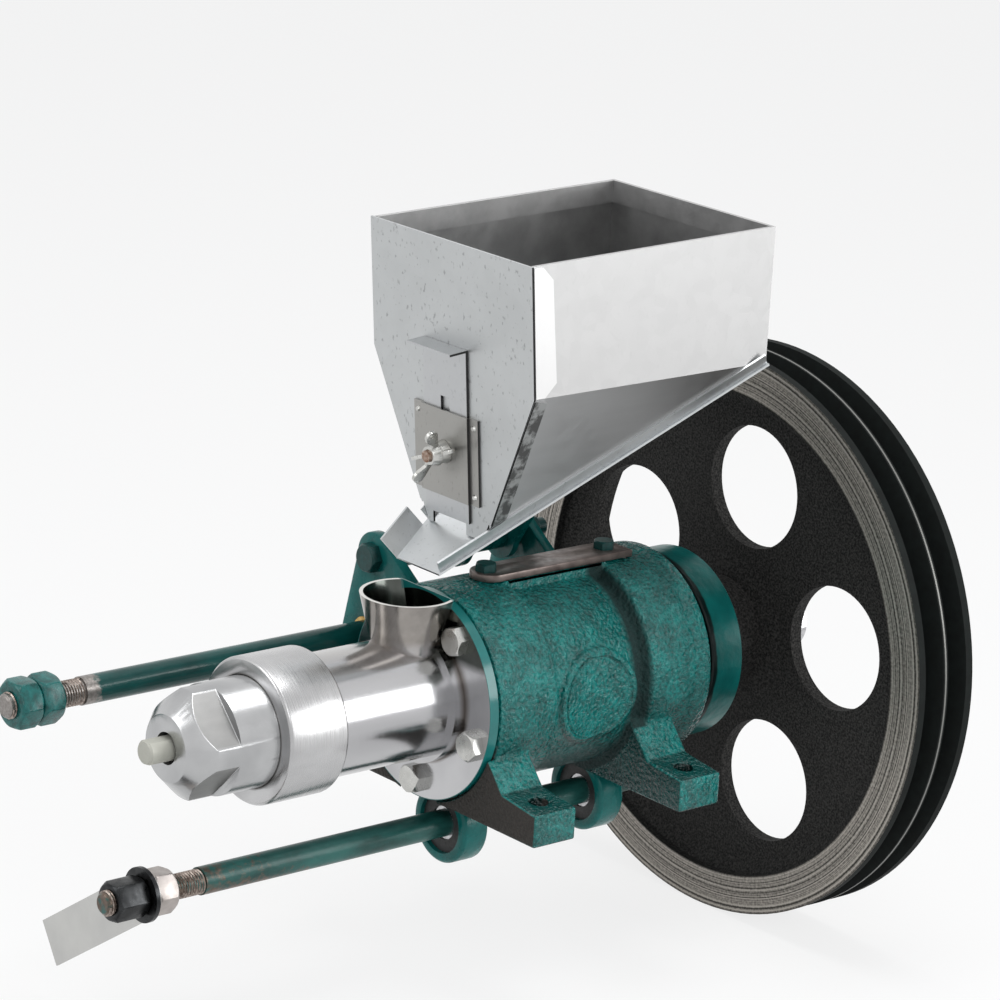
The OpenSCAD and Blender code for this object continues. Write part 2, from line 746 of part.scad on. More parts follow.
module screw() {
    y0 = y_liner + 4;
    flight_l = liner_end - y0 - 14;
    color([0.45, 0.45, 0.48]) union() {
        rod_y(0, shaft_h, y0, liner_end - y0, screw_core_d);
        along_y(0, y0 - 2, shaft_h) cylinder(h = 2, d1 = screw_core_d - 6, d2 = screw_core_d);
        along_y(0, y0, shaft_h) helical_flight(flight_l, 24);
        rod_y(0, shaft_h, liner_end + 0.4, shaft_front - liner_end - 0.4, barrel_bore_d - 4);
        rod_y(0, shaft_h, liner_end - 2, shaft_front - liner_end + 2 + shank_l, shank_d);
    }
}
module top_bar() {
    z = shaft_h + pad_top;
    color([0.45, 0.36, 0.33]) difference() {
        union() {
            translate([-bar_w / 2, bar_y0 + bar_w / 2, z]) cube([bar_w, bar_l - bar_w / 2, bar_t]);
            translate([0, bar_y0 + bar_w / 2, z]) cylinder(h = bar_t, d = bar_w);
        }
        for (b = [0, 1]) translate([0, bar_y0 + bar_bolt_in + b * bar_bolt_pitch, z - 1])
            cylinder(h = bar_t + 2, d = bar_bolt_d + 0.6);
    }
}
module top_bar_bolts() {
    color([0.05, 0.30, 0.28]) for (b = [0, 1])
        translate([0, bar_y0 + bar_bolt_in + b * bar_bolt_pitch, shaft_h + pad_top + bar_t])
            rotate(12) hex_bolt(bar_bolt_d, 22, bar_bolt_d * 1.6, bar_bolt_d * 0.7);
}
module cutter_ring(y) {
    c = 2;
    color([0.05, 0.52, 0.47]) along_y(knife_x, y - ring_l / 2, -knife_z) rotate_extrude($fn = 72) polygon([
        [knife_brg_od / 2, 0], [ring_d / 2 - c, 0], [ring_d / 2, c], [ring_d / 2, ring_l - c],
        [ring_d / 2 - c, ring_l], [knife_brg_od / 2, ring_l]]);
}
module cutter_ring_front() {
    cutter_ring(-ring_y);
}
module cutter_ring_rear() {
    cutter_ring(ring_y);
}
module at_knife_bearings() {
    for (s = [-1, 1]) along_y(knife_x, s * ring_y - knife_brg_w / 2, -knife_z) children();
}
module cutter_bearing_outer_rings() {
    color("gray") at_knife_bearings() ring_outer(knife_brg_od, knife_brg_w, knife_pitch_r, knife_ball_d);
}
module cutter_bearing_balls() {
    color("silver") at_knife_bearings() ball_row(knife_brg_w, knife_pitch_r, knife_ball_d, knife_balls);
}
module cutter_bearing_inner_rings() {
    color("gray") at_knife_bearings() ring_inner(knife_journal_d, knife_brg_w, knife_pitch_r, knife_ball_d);
}
module cutter_bearing_shields() {
    bore = knife_pitch_r * 2 - knife_ball_d * 0.64 - 1.2;
    color([0.1, 0.1, 0.1]) for (s = [-1, 1], e = [-1, 1])
        tube_y(knife_x, -knife_z, s * ring_y + e * (knife_brg_w / 2 + 0.6) - 0.5, 1, knife_brg_od, bore);
}
module cutter_shaft() {
    y_in = -ring_y - knife_brg_w / 2;
    y_out = ring_y + knife_brg_w / 2;
    y_thread = y_knife_end + knife_thread_l;
    color([0.05, 0.40, 0.36]) union() {
        along_y(knife_x, y_knife_end, -knife_z) cylinder(h = 1.5, d1 = knife_thread_d - 3, d2 = knife_thread_d);
        rod_y(knife_x, -knife_z, y_knife_end + 1.4, knife_thread_l, knife_thread_d);
        rod_y(knife_x, -knife_z, y_thread, y_in - y_thread, knife_shaft_d);
        rod_y(knife_x, -knife_z, y_in - 0.1, y_out - y_in + knife_tail - knife_drive_l, knife_journal_d);
        rod_y(knife_x, -knife_z, y_out, knife_tail, knife_drive_d);
        rod_y(knife_x, -knife_z, y_in + knife_brg_w, y_out - y_in - 2 * knife_brg_w, knife_shaft_d);
    }
}
module knife() {
    color([0.72, 0.72, 0.70]) translate([knife_x, y_knife, -knife_z]) rotate([0, -knife_turn, 0])
        difference() {
            union() {
                rotate([-90, 0, 0]) cylinder(h = knife_t, d = knife_w);
                translate([0, 0, -knife_w / 2]) cube([knife_l, knife_t, knife_w]);
            }
            translate([0, -1, 0]) rotate([-90, 0, 0]) cylinder(h = knife_t + 2, d = knife_thread_d);
        }
}
module knife_washer() {
    color([0.15, 0.15, 0.15]) tube_y(knife_x, -knife_z, y_knife - knife_washer_t, knife_washer_t, 36,
        knife_thread_d);
}
module knife_lock_nut() {
    color([0.18, 0.18, 0.19]) along_y(knife_x, y_knife - knife_washer_t - knife_nut_h, -knife_z)
        hex_nut(knife_nut_af, knife_nut_h, knife_thread_d);
}
module knife_back_nut() {
    color([0.75, 0.70, 0.65]) along_y(knife_x, y_knife + knife_t, -knife_z)
        hex_nut(knife_back_af, knife_back_h, knife_thread_d);
}
module bracket_plate(y) {
    color([0.05, 0.50, 0.45]) difference() {
        translate([0, y + plate_t, 0]) rotate([90, 0, 0]) union() {
            translate([-tie_x, tie_z, 0]) cylinder(h = plate_t, r = plate_top_r);
            linear_extrude(height = plate_t) polygon([[-tie_x + 8, tie_z + 14], [-36, tie_z - 13], [-40, plate_low - 10],
                [-plate_left + 8, plate_low], [-plate_left, plate_low + 10], [-tie_x - 16, tie_z + 3]]);
        }
        rod_y(0, shaft_h, y - 1, plate_t + 2, band_r * 2);
        rod_y(-tie_x, tie_z, y - 1, plate_t + 2, tie_d);
        rod_y(-rod_x, rod_z, y - 1, plate_t + 2, rod_d + 2 * bush_wall);
    }
}
module bracket_plate_front() {
    bracket_plate(plate_y[0]);
}
module bracket_plate_rear() {
    bracket_plate(plate_y[1]);
}
module tie_bolt() {
    color([0.08, 0.30, 0.28]) along_y(-tie_x, plate_y[0], tie_z) mirror([0, 0, 1])
        hex_bolt(tie_d, plate_y[1] - plate_y[0] + plate_t + 18, tie_d * head_af, tie_d * head_k);
}
module tie_nut() {
    color([0.08, 0.30, 0.28]) along_y(-tie_x, plate_y[1] + plate_t, tie_z) hex_nut(tie_d * head_af, 10, tie_d);
}
module spacer_tube() {
    y0 = plate_y[0] + plate_t;
    color([0.06, 0.48, 0.43]) tube_y(-tie_x, tie_z, y0, plate_y[1] - y0, tie_tube_d, tie_d + 0.6);
}
module rod_bushes() {
    color([0.70, 0.52, 0.25]) for (y = plate_y)
        tube_y(-rod_x, rod_z, y, plate_t, rod_d + 2 * bush_wall, rod_d + 2 * rod_clear);
}
module upper_rod() {
    y1 = plate_y[1] + plate_t + rod_tail;
    color([0.05, 0.40, 0.36]) union() {
        rod_y(-rod_x, rod_z, -rod_front, y1 + rod_front, rod_d);
        rod_y(-rod_x, rod_z, -rod_front - rod_thread_l + 1.5, rod_thread_l, rod_thread_d);
        along_y(-rod_x, -rod_front - rod_thread_l, rod_z)
            cylinder(h = 1.6, d1 = rod_thread_d - 3, d2 = rod_thread_d);
    }
}
module upper_rod_nuts() {
    color([0.06, 0.48, 0.43]) for (i = [0, 1]) along_y(-rod_x, -rod_front - rod_thread_l + 5 + i * (nut_h + 0.3), rod_z)
        rotate(i * 9) hex_nut(nut_af, nut_h, rod_thread_d);
}

// Frame of the front wall: X across, Z up the wall from its foot
module on_front_wall() {
    translate([0, -hop_front_foot, hop_foot]) rotate([hop_lean, 0, 0]) children();
}
module on_gate() {
    on_front_wall() translate([-gate_left, 0, 0]) children();
}
function wall_half(up) = up * cos(hop_lean) + hop_foot > hop_break ? hop_w / 2 :
    hop_foot_w / 2 + (hop_w - hop_foot_w) / 2 * up * cos(hop_lean) / (hop_break - hop_foot);
break_up = (hop_break - hop_foot) / cos(hop_lean);
wall_lift = 1.2;
strip_clear = 0.7;
flange_lap = 0.6;
step_up = floor_flange + 3.5;
module hopper_front() {
    rim_half = hop_w / 2 + sheet_t - flange_lap / 2;
    low_half = wall_half(wall_lift) - strip_clear;
    mid_half = wall_half(step_up) - strip_clear;
    color([0.78, 0.79, 0.80]) union() {
        on_front_wall() rotate([90, 0, 0]) mirror([0, 0, 1]) linear_extrude(height = sheet_t) difference() {
            polygon([[-low_half, wall_lift], [low_half, wall_lift], [mid_half, step_up],
                [mid_half + sheet_t * 1.6, step_up], [rim_half, break_up], [rim_half, wall_l],
                [-rim_half, wall_l], [-rim_half, break_up], [-mid_half - sheet_t * 1.6, step_up],
                [-mid_half, step_up]]);
            translate([-gate_left - gate_w / 2, -1]) square([gate_w, gate_h + 1]);
            translate([-gate_left, stud_up]) circle(d = stud_d);
        }
        for (s = [-1, 1]) corner_flange(s);
        for (s = [0, 1]) mirror([s, 0, 0]) lower_flange();
    }
}
module corner_flange(s) {
    x = s * hop_w / 2;
    cut = corner_w / 2;
    low = hop_break + flange_lap;
    top = hop_top - flange_lap;
    sheet([[x, lean_y(low) + flange_lap, low], [x, lean_y(low) + cut, low],
        [x, lean_y(low) + corner_w, low + cut], [x, lean_y(top) + corner_w, top - cut],
        [x, lean_y(top) + cut, top], [x, lean_y(top) + flange_lap, top]], [s, 0, 0], sheet_t);
}
module lower_flange() {
    foot = [hop_foot_w / 2, -hop_front_foot, hop_foot];
    top = [hop_w / 2, lean_y(hop_break), hop_break];
    along = (top - foot) / norm(top - foot);
    across = cross(along, side_normal);
    into = across * (across[1] > 0 ? 1 : -1);
    low = foot + along * (floor_flange + sheet_t) / (along * side_rise);
    sheet([low + side_run * flange_lap, top + into * flange_lap - along * flange_lap,
        top + into * lower_w - along * lower_w / 3,
        low + side_run * lower_w / (side_run * into)], side_normal, sheet_t);
}
// Outer corners of the right side, from the front break round to the outlet
side_front = [hop_w / 2, lean_y(hop_break) + sheet_t, hop_break];
side_back = [hop_w / 2, hop_back, hop_break];
side_low = [hop_foot_w / 2, -hop_front_foot + sheet_t, floor_z(-hop_front_foot + sheet_t)];
side_cross = cross(side_back - side_front, side_low - side_front);
side_normal = side_cross * (side_cross[0] > 0 ? 1 : -1) / norm(side_cross);
side_run = (side_back - side_low) / norm(side_back - side_low);
side_rise = cross(side_run, side_normal) * (cross(side_run, side_normal)[2] > 0 ? 1 : -1);
module hopper_walls() {
    top_y = lean_y(hop_top) + sheet_t;
    color([0.80, 0.81, 0.82]) union() {
        for (s = [0, 1]) mirror([s, 0, 0]) {
            sheet([side_front, side_back, [hop_w / 2, hop_back, hop_top + back_rise], [hop_w / 2, top_y, hop_top]],
                [-1, 0, 0], sheet_t);
            sheet([side_front, side_back, side_low], -side_normal, sheet_t);
        }
        translate([-hop_w / 2, hop_back - sheet_t, hop_break])
            cube([hop_w, sheet_t, hop_top + back_rise - hop_break]);
        for (s = [-1, 1]) side_hem(s, top_y + sheet_t);
        translate([-hop_w / 2 + 1, hop_back - 2 * sheet_t, hop_top + back_rise - hem_h])
            cube([hop_w - 2, sheet_t * 1.5, hem_h]);
    }
}
module side_hem(s, y0) {
    x = s * (hop_w / 2 - sheet_t / 2);
    y1 = hop_back - sheet_t / 2;
    rise = back_rise / (hop_back - lean_y(hop_top));
    low = hop_top + (y0 - lean_y(hop_top)) * rise;
    high = hop_top + (y1 - lean_y(hop_top)) * rise - 0.2;
    sheet([[x, y0, low - hem_h], [x, y1, high - hem_h], [x, y1, high], [x, y0, low - 0.2]],
        [-s, 0, 0], sheet_t * 1.5);
}
// Frame of the floor: Y up the slope from the foot of the front wall, Z square to it
module on_floor() {
    translate([0, -hop_front_foot, hop_foot]) rotate([floor_tilt, 0, 0]) children();
}
module floor_edge(ahead) {
    low = side_low - side_run * ahead - side_rise * sheet_t / 2;
    high = side_back - side_rise * sheet_t / 2;
    sheet([low, high, high + side_rise * floor_flange, low + side_rise * floor_flange], side_normal, sheet_t);
}
module hopper_floor() {
    grow = (hop_w - hop_foot_w) / 2 / floor_l;
    foot_half = hop_foot_w / 2 + 2 * sheet_t;
    tip_half = foot_half - grow * tongue_l;
    top_half = foot_half + grow * floor_l;
    wing = sheet_t * 1.2;
    color([0.76, 0.78, 0.79]) union() {
        on_floor() translate([0, 0, -sheet_t]) linear_extrude(height = sheet_t) polygon([
            [-foot_half, 0], [-tip_half, -tongue_l], [tip_half, -tongue_l], [top_half, floor_l],
            [-top_half, floor_l]]);
        on_floor() sheet([[wing - foot_half, -4, -sheet_t / 2], [wing - tip_half, -tongue_l, -sheet_t / 2],
            [wing - tip_half - wing_splay, -tongue_l, wing_h], [wing - foot_half - wing_splay, -4, wing_h]],
            [-1, 0, 0], sheet_t);
        floor_edge(tongue_l);
        mirror([1, 0, 0]) floor_edge(0);
    }
}
module hopper_straps() {
    t = 5;
    color([0.06, 0.48, 0.43]) for (y = strap_y) difference() {
        translate([0, y + t, 0]) rotate([90, 0, 0]) linear_extrude(height = t) union() {
            translate([-tie_x, tie_z]) circle(d = tie_tube_d + 14);
            polygon([[-tie_x - 7, tie_z + 14], [-40, hop_break], [-14, hop_break], [-14, floor_z(y) - 20],
                [-tie_x + 11, tie_z - 12]]);
        }
        rod_y(-tie_x, tie_z, y - 1, t + 2, tie_tube_d);
        on_floor() translate([-120, -100, -sheet_t]) cube([240, 400, 400]);
        rod_y(0, shaft_h, y - 1, t + 2, (band_r + 4) * 2);
    }
}
module hopper_rivets() {
    color("silver") on_gate() for (s = [-1, 1], u = [6, guide_h - 6])
        translate([s * (guide_w / 2 - 4), 0, guide_up + u]) rotate([90, 0, 0]) translate([0, 0, sheet_t])
            cylinder(h = 1.2, d1 = 4, d2 = 2.6);
}
module gate_slide() {
    z0 = slide_up;
    gap = slide_clear / 2;
    color([0.74, 0.76, 0.77]) on_gate() difference() {
        union() {
            translate([-slide_w / 2, -gap - sheet_t, z0]) cube([slide_w, sheet_t, slide_l]);
            translate([-slide_w / 2, -gap - sheet_t - slide_lip, z0 + slide_l - sheet_t])
                cube([slide_w, slide_lip + 0.1, sheet_t]);
        }
        translate([-stud_d / 2 - 0.5, -10, slot_low]) cube([stud_d + 1, 20, slot_high - slot_low]);
    }
}
module gate_guide() {
    inner = slide_w / 2 + slide_clear;
    color([0.66, 0.66, 0.66]) on_gate() difference() {
        union() {
            translate([-inner - sheet_t, -joggle - sheet_t, guide_up]) cube([2 * (inner + sheet_t), sheet_t, guide_h]);
            for (s = [0, 1]) mirror([s, 0, 0]) {
                translate([inner, -joggle, guide_up]) cube([sheet_t, joggle, guide_h]);
                translate([inner, -sheet_t, guide_up]) cube([guide_w / 2 - inner, sheet_t, guide_h]);
            }
        }
        translate([0, 1, stud_up]) rotate([90, 0, 0]) cylinder(h = 20, d = stud_d + 0.4);
    }
}
module gate_stud() {
    color([0.55, 0.42, 0.35]) on_gate() translate([0, sheet_t, stud_up]) rotate([90, 0, 0]) union() {
        translate([0, 0, -3]) cylinder(h = 3, d = stud_d * 1.7);
        cylinder(h = joggle + 2 * sheet_t + 2 * nut_hub_h + 2.5, d = stud_d);
    }
}
module wing_nut(stage, turn) {
    on_gate() translate([0, -joggle - sheet_t - stage * (nut_hub_h + 0.3) - 0.2, stud_up]) rotate([90, 0, 0])
        rotate(turn) difference() {
            union() {
                cylinder(h = nut_hub_h, r1 = nut_hub_r, r2 = nut_hub_r - 2);
                for (a = [0, 180]) rotate(a) rotate([90, 0, 0]) translate([0, 0, -1.2]) linear_extrude(height = 2.4)
                    union() {
                        polygon([[5, 1], [7, 1], [19, 5], [21, 11], [13, 12], [8.8, 6], [5, 5.5]]);
                        translate([17, 9]) circle(r = 4.4);
                    }
            }
            translate([0, 0, -1]) cylinder(h = nut_hub_h + 6, d = stud_d + 0.1);
        }
}
module wing_nut_inner() {
    color("silver") wing_nut(0, 20);
}
module wing_nut_outer() {
    color("silver") wing_nut(1, 65);
}

housing();
front_cover();
rear_bearing_nut();
main_bearing_outer_rings();
main_bearing_balls();
main_bearing_inner_rings();
main_shaft();
pulley();
pulley_key();
pulley_washer();
pulley_nut();
barrel();
barrel_liner();
flange_bolts();
union_collar();
nose();
die_plate();
screw();
top_bar();
top_bar_bolts();
cutter_ring_front();
cutter_ring_rear();
cutter_bearing_outer_rings();
cutter_bearing_balls();
cutter_bearing_shields();
cutter_bearing_inner_rings();
cutter_shaft();
knife();
knife_washer();
knife_lock_nut();
knife_back_nut();
bracket_plate_front();
bracket_plate_rear();
tie_bolt();
tie_nut();
spacer_tube();
rod_bushes();
upper_rod();
upper_rod_nuts();
hopper_front();
hopper_walls();
hopper_floor();
hopper_straps();
hopper_rivets();
gate_slide();
gate_guide();
gate_stud();
wing_nut_inner();
wing_nut_outer();
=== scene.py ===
# %% [markdown]
# # A screw extruder for puffed grain snacks
# Grain slides from the sheet hopper through a gate into a steel barrel. A screw, turned by the
# big belt pulley, presses it out of the die nose, and a knife below cuts the puffed strand.
# The solids come from the CAD frame. Here they get their finishes and the small details that
# a drawing leaves out: cut threads, rounded castings and edges broken with a file.

# %% Frame
import math
import bpy
import bmesh
from mathutils import Matrix, Vector


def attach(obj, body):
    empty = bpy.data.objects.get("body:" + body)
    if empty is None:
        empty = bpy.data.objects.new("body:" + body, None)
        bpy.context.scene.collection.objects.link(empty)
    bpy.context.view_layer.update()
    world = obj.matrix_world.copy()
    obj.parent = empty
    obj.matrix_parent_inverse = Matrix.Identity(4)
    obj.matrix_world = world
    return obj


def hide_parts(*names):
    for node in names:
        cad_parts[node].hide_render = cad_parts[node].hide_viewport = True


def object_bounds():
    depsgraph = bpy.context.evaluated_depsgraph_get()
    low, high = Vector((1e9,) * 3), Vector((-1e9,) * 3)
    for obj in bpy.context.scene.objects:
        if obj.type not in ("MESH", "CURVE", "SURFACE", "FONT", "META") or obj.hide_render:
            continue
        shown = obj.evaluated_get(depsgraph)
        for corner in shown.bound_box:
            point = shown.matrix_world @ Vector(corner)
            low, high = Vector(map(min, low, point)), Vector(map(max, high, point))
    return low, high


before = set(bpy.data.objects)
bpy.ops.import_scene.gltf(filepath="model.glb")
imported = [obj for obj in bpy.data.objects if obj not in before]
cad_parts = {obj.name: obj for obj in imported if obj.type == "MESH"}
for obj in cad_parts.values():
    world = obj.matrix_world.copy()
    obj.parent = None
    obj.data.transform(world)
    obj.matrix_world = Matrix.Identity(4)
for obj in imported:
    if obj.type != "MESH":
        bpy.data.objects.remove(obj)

cad_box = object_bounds()
print("CAD box", [[round(v, 4) for v in corner] for corner in cad_box])

# %% [markdown]
# ## Camera
# The picture was taken from the die end, a little above the shaft, with a long lens and the
# camera turned slightly about its own axis. A camera could be aimed at an empty with a
# constraint, but a matrix built from three angles keeps the roll exact, so that is used.

# %% Viewing direction
turn = math.radians(49.4)
tilt = math.radians(16.2)
roll = math.radians(3.2)
forward = Vector((-math.sin(turn) * math.cos(tilt), math.cos(turn) * math.cos(tilt),
    -math.sin(tilt)))
level_right = Vector((math.cos(turn), math.sin(turn), 0))
level_up = level_right.cross(forward)
right = level_right * math.cos(roll) + level_up * math.sin(roll)
up = level_up * math.cos(roll) - level_right * math.sin(roll)
print("the camera looks along", [round(v, 3) for v in forward])

# %% Camera
sensor_mm = 36
lens_mm = 153.85
lens_place = (2.0471, -1.7786, 0.9784)

camera_data = bpy.data.cameras.new("studio_camera")
camera_data.sensor_width = sensor_mm
camera_data.lens = lens_mm
camera = bpy.data.objects.new("studio_camera", camera_data)
bpy.context.scene.collection.objects.link(camera)
aim = Matrix((right, up, -forward)).transposed().to_4x4()
camera.matrix_world = Matrix.Translation(lens_place) @ aim
bpy.context.scene.camera = camera
print("camera height", round(camera.location.z, 3))

# %% [markdown]
# ## Lamps
# A catalogue picture is lit by large soft boxes. One strong lamp would give hard shadows inside
# the hopper, so four broad ones share the work. One stands low behind the right side, where the
# round barrel and the casting mirror it towards the lens.

# %% Lamps
def soft_box(name, place, size, watts, target=Vector((0, -0.05, 0.12))):
    data = bpy.data.lights.new(name, "AREA")
    data.shape = "SQUARE"
    data.size = size
    data.energy = watts
    lamp = bpy.data.objects.new(name, data)
    bpy.context.scene.collection.objects.link(lamp)
    lamp.location = place
    lamp.rotation_euler = (target - Vector(place)).to_track_quat("-Z", "Y").to_euler()
    print(name, watts, "W")

soft_box("box_front_left", (-0.9, -2.4, 1.5), size=1.4, watts=16)
soft_box("box_right_back", (1.9, 1.35, 0.75), size=1.2, watts=22)
soft_box("box_top", (0.3, 0.1, 2.6), size=1.2, watts=34)
soft_box("box_right_front", (2.2, -1.3, 1.7), size=1.0, watts=9)

# %% [markdown]
# ## A white studio that lights only gently
# The ground of the picture is white, but a white world as strong as that would wash out the
# enamel. The Light Path node tells who is looking: the lens, and the rays that polished metal or
# glass sends on, see plain white, and every other ray meets a dim sky.

# %% White for the lens
def white_to_lens(tree, lit, white, output, share=1.0):
    rays = tree.nodes.new("ShaderNodeLightPath").outputs
    seen = rays["Is Camera Ray"]
    for how, other in (("MAXIMUM", rays["Is Glossy Ray"]),
            ("MAXIMUM", rays["Is Transmission Ray"]), ("MULTIPLY", None)):
        node = tree.nodes.new("ShaderNodeMath")
        node.operation = how
        node.inputs[1].default_value = share
        tree.links.new(seen, node.inputs[0])
        if other:
            tree.links.new(other, node.inputs[1])
        seen = node.outputs[0]
    mix = tree.nodes.new("ShaderNodeMixShader")
    for socket, source in zip(mix.inputs, (seen, lit, white)):
        tree.links.new(source, socket)
    tree.links.new(mix.outputs[0], output)

# %% Sky
world = bpy.data.worlds.new("white_studio")
bpy.context.scene.world = world
world.use_nodes = True
sky = world.node_tree
dim = sky.nodes["Background"]
dim.inputs["Color"].default_value = (0.95, 0.97, 1.0, 1)
dim.inputs["Strength"].default_value = 0.42
bright = sky.nodes.new("ShaderNodeBackground")
bright.inputs["Color"].default_value = (1, 1, 1, 1)
bright.inputs["Strength"].default_value = 1.0
white_to_lens(sky, dim.outputs[0], bright.outputs[0],
    sky.nodes["World Output"].inputs["Surface"])
bpy.context.scene.view_settings.view_transform = "Standard"
print("sky strength", round(dim.inputs["Strength"].default_value, 2))

# %% [markdown]
# ## Floor
# The floor is a sheet of paper. It glows white for the lens like the world, but only for four
# fifths, so the shadow of the machine still shows on it. A shadow catcher would do the same, but
# it needs a compositor to lay the shadow over white, and this scene has none.

# %% Paper
paper = bpy.data.materials.new("white_paper")
paper.use_nodes = True
paper_nodes = paper.node_tree.nodes
matt = paper_nodes["Principled BSDF"]
matt.inputs["Base Color"].default_value = (0.86, 0.86, 0.86, 1)
matt.inputs["Roughness"].default_value = 0.9
glow = paper_nodes.new("ShaderNodeEmission")
glow.inputs["Strength"].default_value = 1.0
white_to_lens(paper.node_tree, matt.outputs[0], glow.outputs[0],
    paper_nodes["Material Output"].inputs["Surface"], share=0.8)
print(paper.name, len(paper_nodes), "nodes")

# %% Floor
floor_half = 12
floor_height = cad_box[0][2] - 0.0005
sheet = bmesh.new()
bmesh.ops.create_grid(sheet, x_segments=1, y_segments=1, size=floor_half)
bmesh.ops.translate(sheet, verts=sheet.verts, vec=(0, 0, floor_height))
floor_mesh = bpy.data.meshes.new("studio_floor")
sheet.to_mesh(floor_mesh)
sheet.free()
floor_mesh.materials.append(paper)
floor = bpy.data.objects.new("studio_floor", floor_mesh)
bpy.context.scene.collection.objects.link(floor)
print("floor at", round(floor_height, 4))

# %% [markdown]
# ## A small bench for finishes
# Every finish is one shader fed by a few textures on the object's own coordinates, in metres.
# Painting images would look right from one side only; noise, cells and rings hold on every
# side and at every distance. The wiring would be long if it were written out each time, so four
# small classes, each building on the one before, let a finish read as a recipe.
#
# The first holds the material and connects things: a socket is linked, a number is set.

# %% Bench: the shader
class Bench:
    def __init__(self, name, color, metallic, rough):
        self.mat = bpy.data.materials.new(name)
        self.mat.use_nodes = True
        self.tree = self.mat.node_tree
        self.shader = self.tree.nodes["Principled BSDF"]
        self.shader.inputs["Base Color"].default_value = (*color, 1)
        self.shader.inputs["Metallic"].default_value = metallic
        self.shader.inputs["Roughness"].default_value = rough
        self.place = self.tree.nodes.new("ShaderNodeTexCoord").outputs["Object"]
        self.relief = None

    def feed(self, socket, value):
        if isinstance(value, bpy.types.NodeSocket):
            self.tree.links.new(value, socket)
        else:
            socket.default_value = value

# %% [markdown]
# ### Sums
# Where one mark ends and another begins is worked out with plain sums. `span` turns a stretch of
# values into a share from 0 to 1, which is how every edge of a mark is drawn, soft or hard.

# %% Bench: sums
class Sums(Bench):
    def math(self, how, a, b=0.0):
        node = self.tree.nodes.new("ShaderNodeMath")
        node.operation = how
        self.feed(node.inputs[0], a)
        self.feed(node.inputs[1], b)
        return node.outputs[0]

    def both(self, a, b):
        return self.math("MULTIPLY", a, b)

    def either(self, a, b):
        return self.math("MAXIMUM", a, b)

    def span(self, value, low, high, to_low=0.0, to_high=1.0):
        node = self.tree.nodes.new("ShaderNodeMapRange")
        for i, number in enumerate((value, low, high, to_low, to_high)):
            self.feed(node.inputs[i], number)
        return node.outputs[0]

    def blend(self, share, a, b):
        node = self.tree.nodes.new("ShaderNodeMix")
        node.data_type = "RGBA"
        self.feed(node.inputs[0], share)
        for socket, color in ((node.inputs[6], a), (node.inputs[7], b)):
            plain = not isinstance(color, bpy.types.NodeSocket)
            self.feed(socket, (*color, 1) if plain else color)
        return node.outputs[2]

# %% [markdown]
# ### Places
# A mark sits somewhere: so far along an axis, so far from the shaft, on faces that look down.
# Vertex groups or painted masks could hold that too, but they would be lost on a mesh that comes
# fresh from the CAD frame. A sum on the position always finds its place.

# %% Bench: places
class Places(Sums):
    def at(self, centre=(0, 0, 0), stretch=(1, 1, 1)):
        node = self.tree.nodes.new("ShaderNodeMapping")
        node.inputs["Scale"].default_value = stretch
        node.inputs["Location"].default_value = [-c * s for c, s in zip(centre, stretch)]
        self.feed(node.inputs["Vector"], self.place)
        return node.outputs["Vector"]

    def normal(self):
        return self.tree.nodes.new("ShaderNodeTexCoord").outputs["Normal"]

    def part(self, letter, vector):
        node = self.tree.nodes.new("ShaderNodeSeparateXYZ")
        self.feed(node.inputs[0], vector)
        return node.outputs["XYZ".index(letter)]

    def axis(self, letter):
        return self.part(letter, self.place)

    def facing(self, letter):
        return self.part(letter, self.normal())

    def vector_sum(self, how, a, b=None):
        node = self.tree.nodes.new("ShaderNodeVectorMath")
        node.operation = how
        self.feed(node.inputs[0], a)
        if b:
            self.feed(node.inputs[1], b)
        return node.outputs["Value"]

    def distance(self, centre, stretch):
        return self.vector_sum("LENGTH", self.at(centre, stretch))

    def radius(self, x, z):
        """Distance from an axis that lies along Y through x, z."""
        return self.distance((x, 0, z), (1, 0, 1))

    def outward(self, centre, stretch=(1, 1, 1)):
        """Positive where a face looks away from the centre, negative where it looks back."""
        return self.vector_sum("DOT_PRODUCT", self.at(centre, stretch), self.normal())

# %% [markdown]
# ### Textures and coats
# Noise and cells give the uneven skin. Colour is laid on in coats, as on the real machine: one
# ground, then each later mark `over` it. Bumps are stacked in the same way, one on another.

# %% Bench: textures and coats
class Finish(Places):
    def noise(self, scale, detail=3, rough=0.5, where=None):
        node = self.tree.nodes.new("ShaderNodeTexNoise")
        node.inputs["Scale"].default_value = scale
        node.inputs["Detail"].default_value = detail
        node.inputs["Roughness"].default_value = rough
        self.feed(node.inputs["Vector"], where or self.place)
        return node.outputs["Fac"]

    def cells(self, scale, feature="F1", out="Distance"):
        node = self.tree.nodes.new("ShaderNodeTexVoronoi")
        node.feature = feature
        node.inputs["Scale"].default_value = scale
        self.feed(node.inputs["Vector"], self.place)
        return node.outputs[out]

    def color(self, value):
        self.coat = value
        self.feed(self.shader.inputs["Base Color"], value)

    def over(self, share, color):
        self.color(self.blend(share, self.coat, color))

    def rough(self, value):
        self.feed(self.shader.inputs["Roughness"], value)

    def metal(self, value):
        self.feed(self.shader.inputs["Metallic"], value)

    def gloss(self, amount):
        self.shader.inputs["Specular IOR Level"].default_value = amount

    def bump(self, height, depth, strength=1.0):
        node = self.tree.nodes.new("ShaderNodeBump")
        node.inputs["Strength"].default_value = strength
        node.inputs["Distance"].default_value = depth
        self.feed(node.inputs["Height"], height)
        if self.relief:
            self.feed(node.inputs["Normal"], self.relief)
        self.relief = node.outputs["Normal"]
        self.feed(self.shader.inputs["Normal"], self.relief)

    def tell(self):
        print(self.mat.name, len(self.tree.nodes), "nodes")

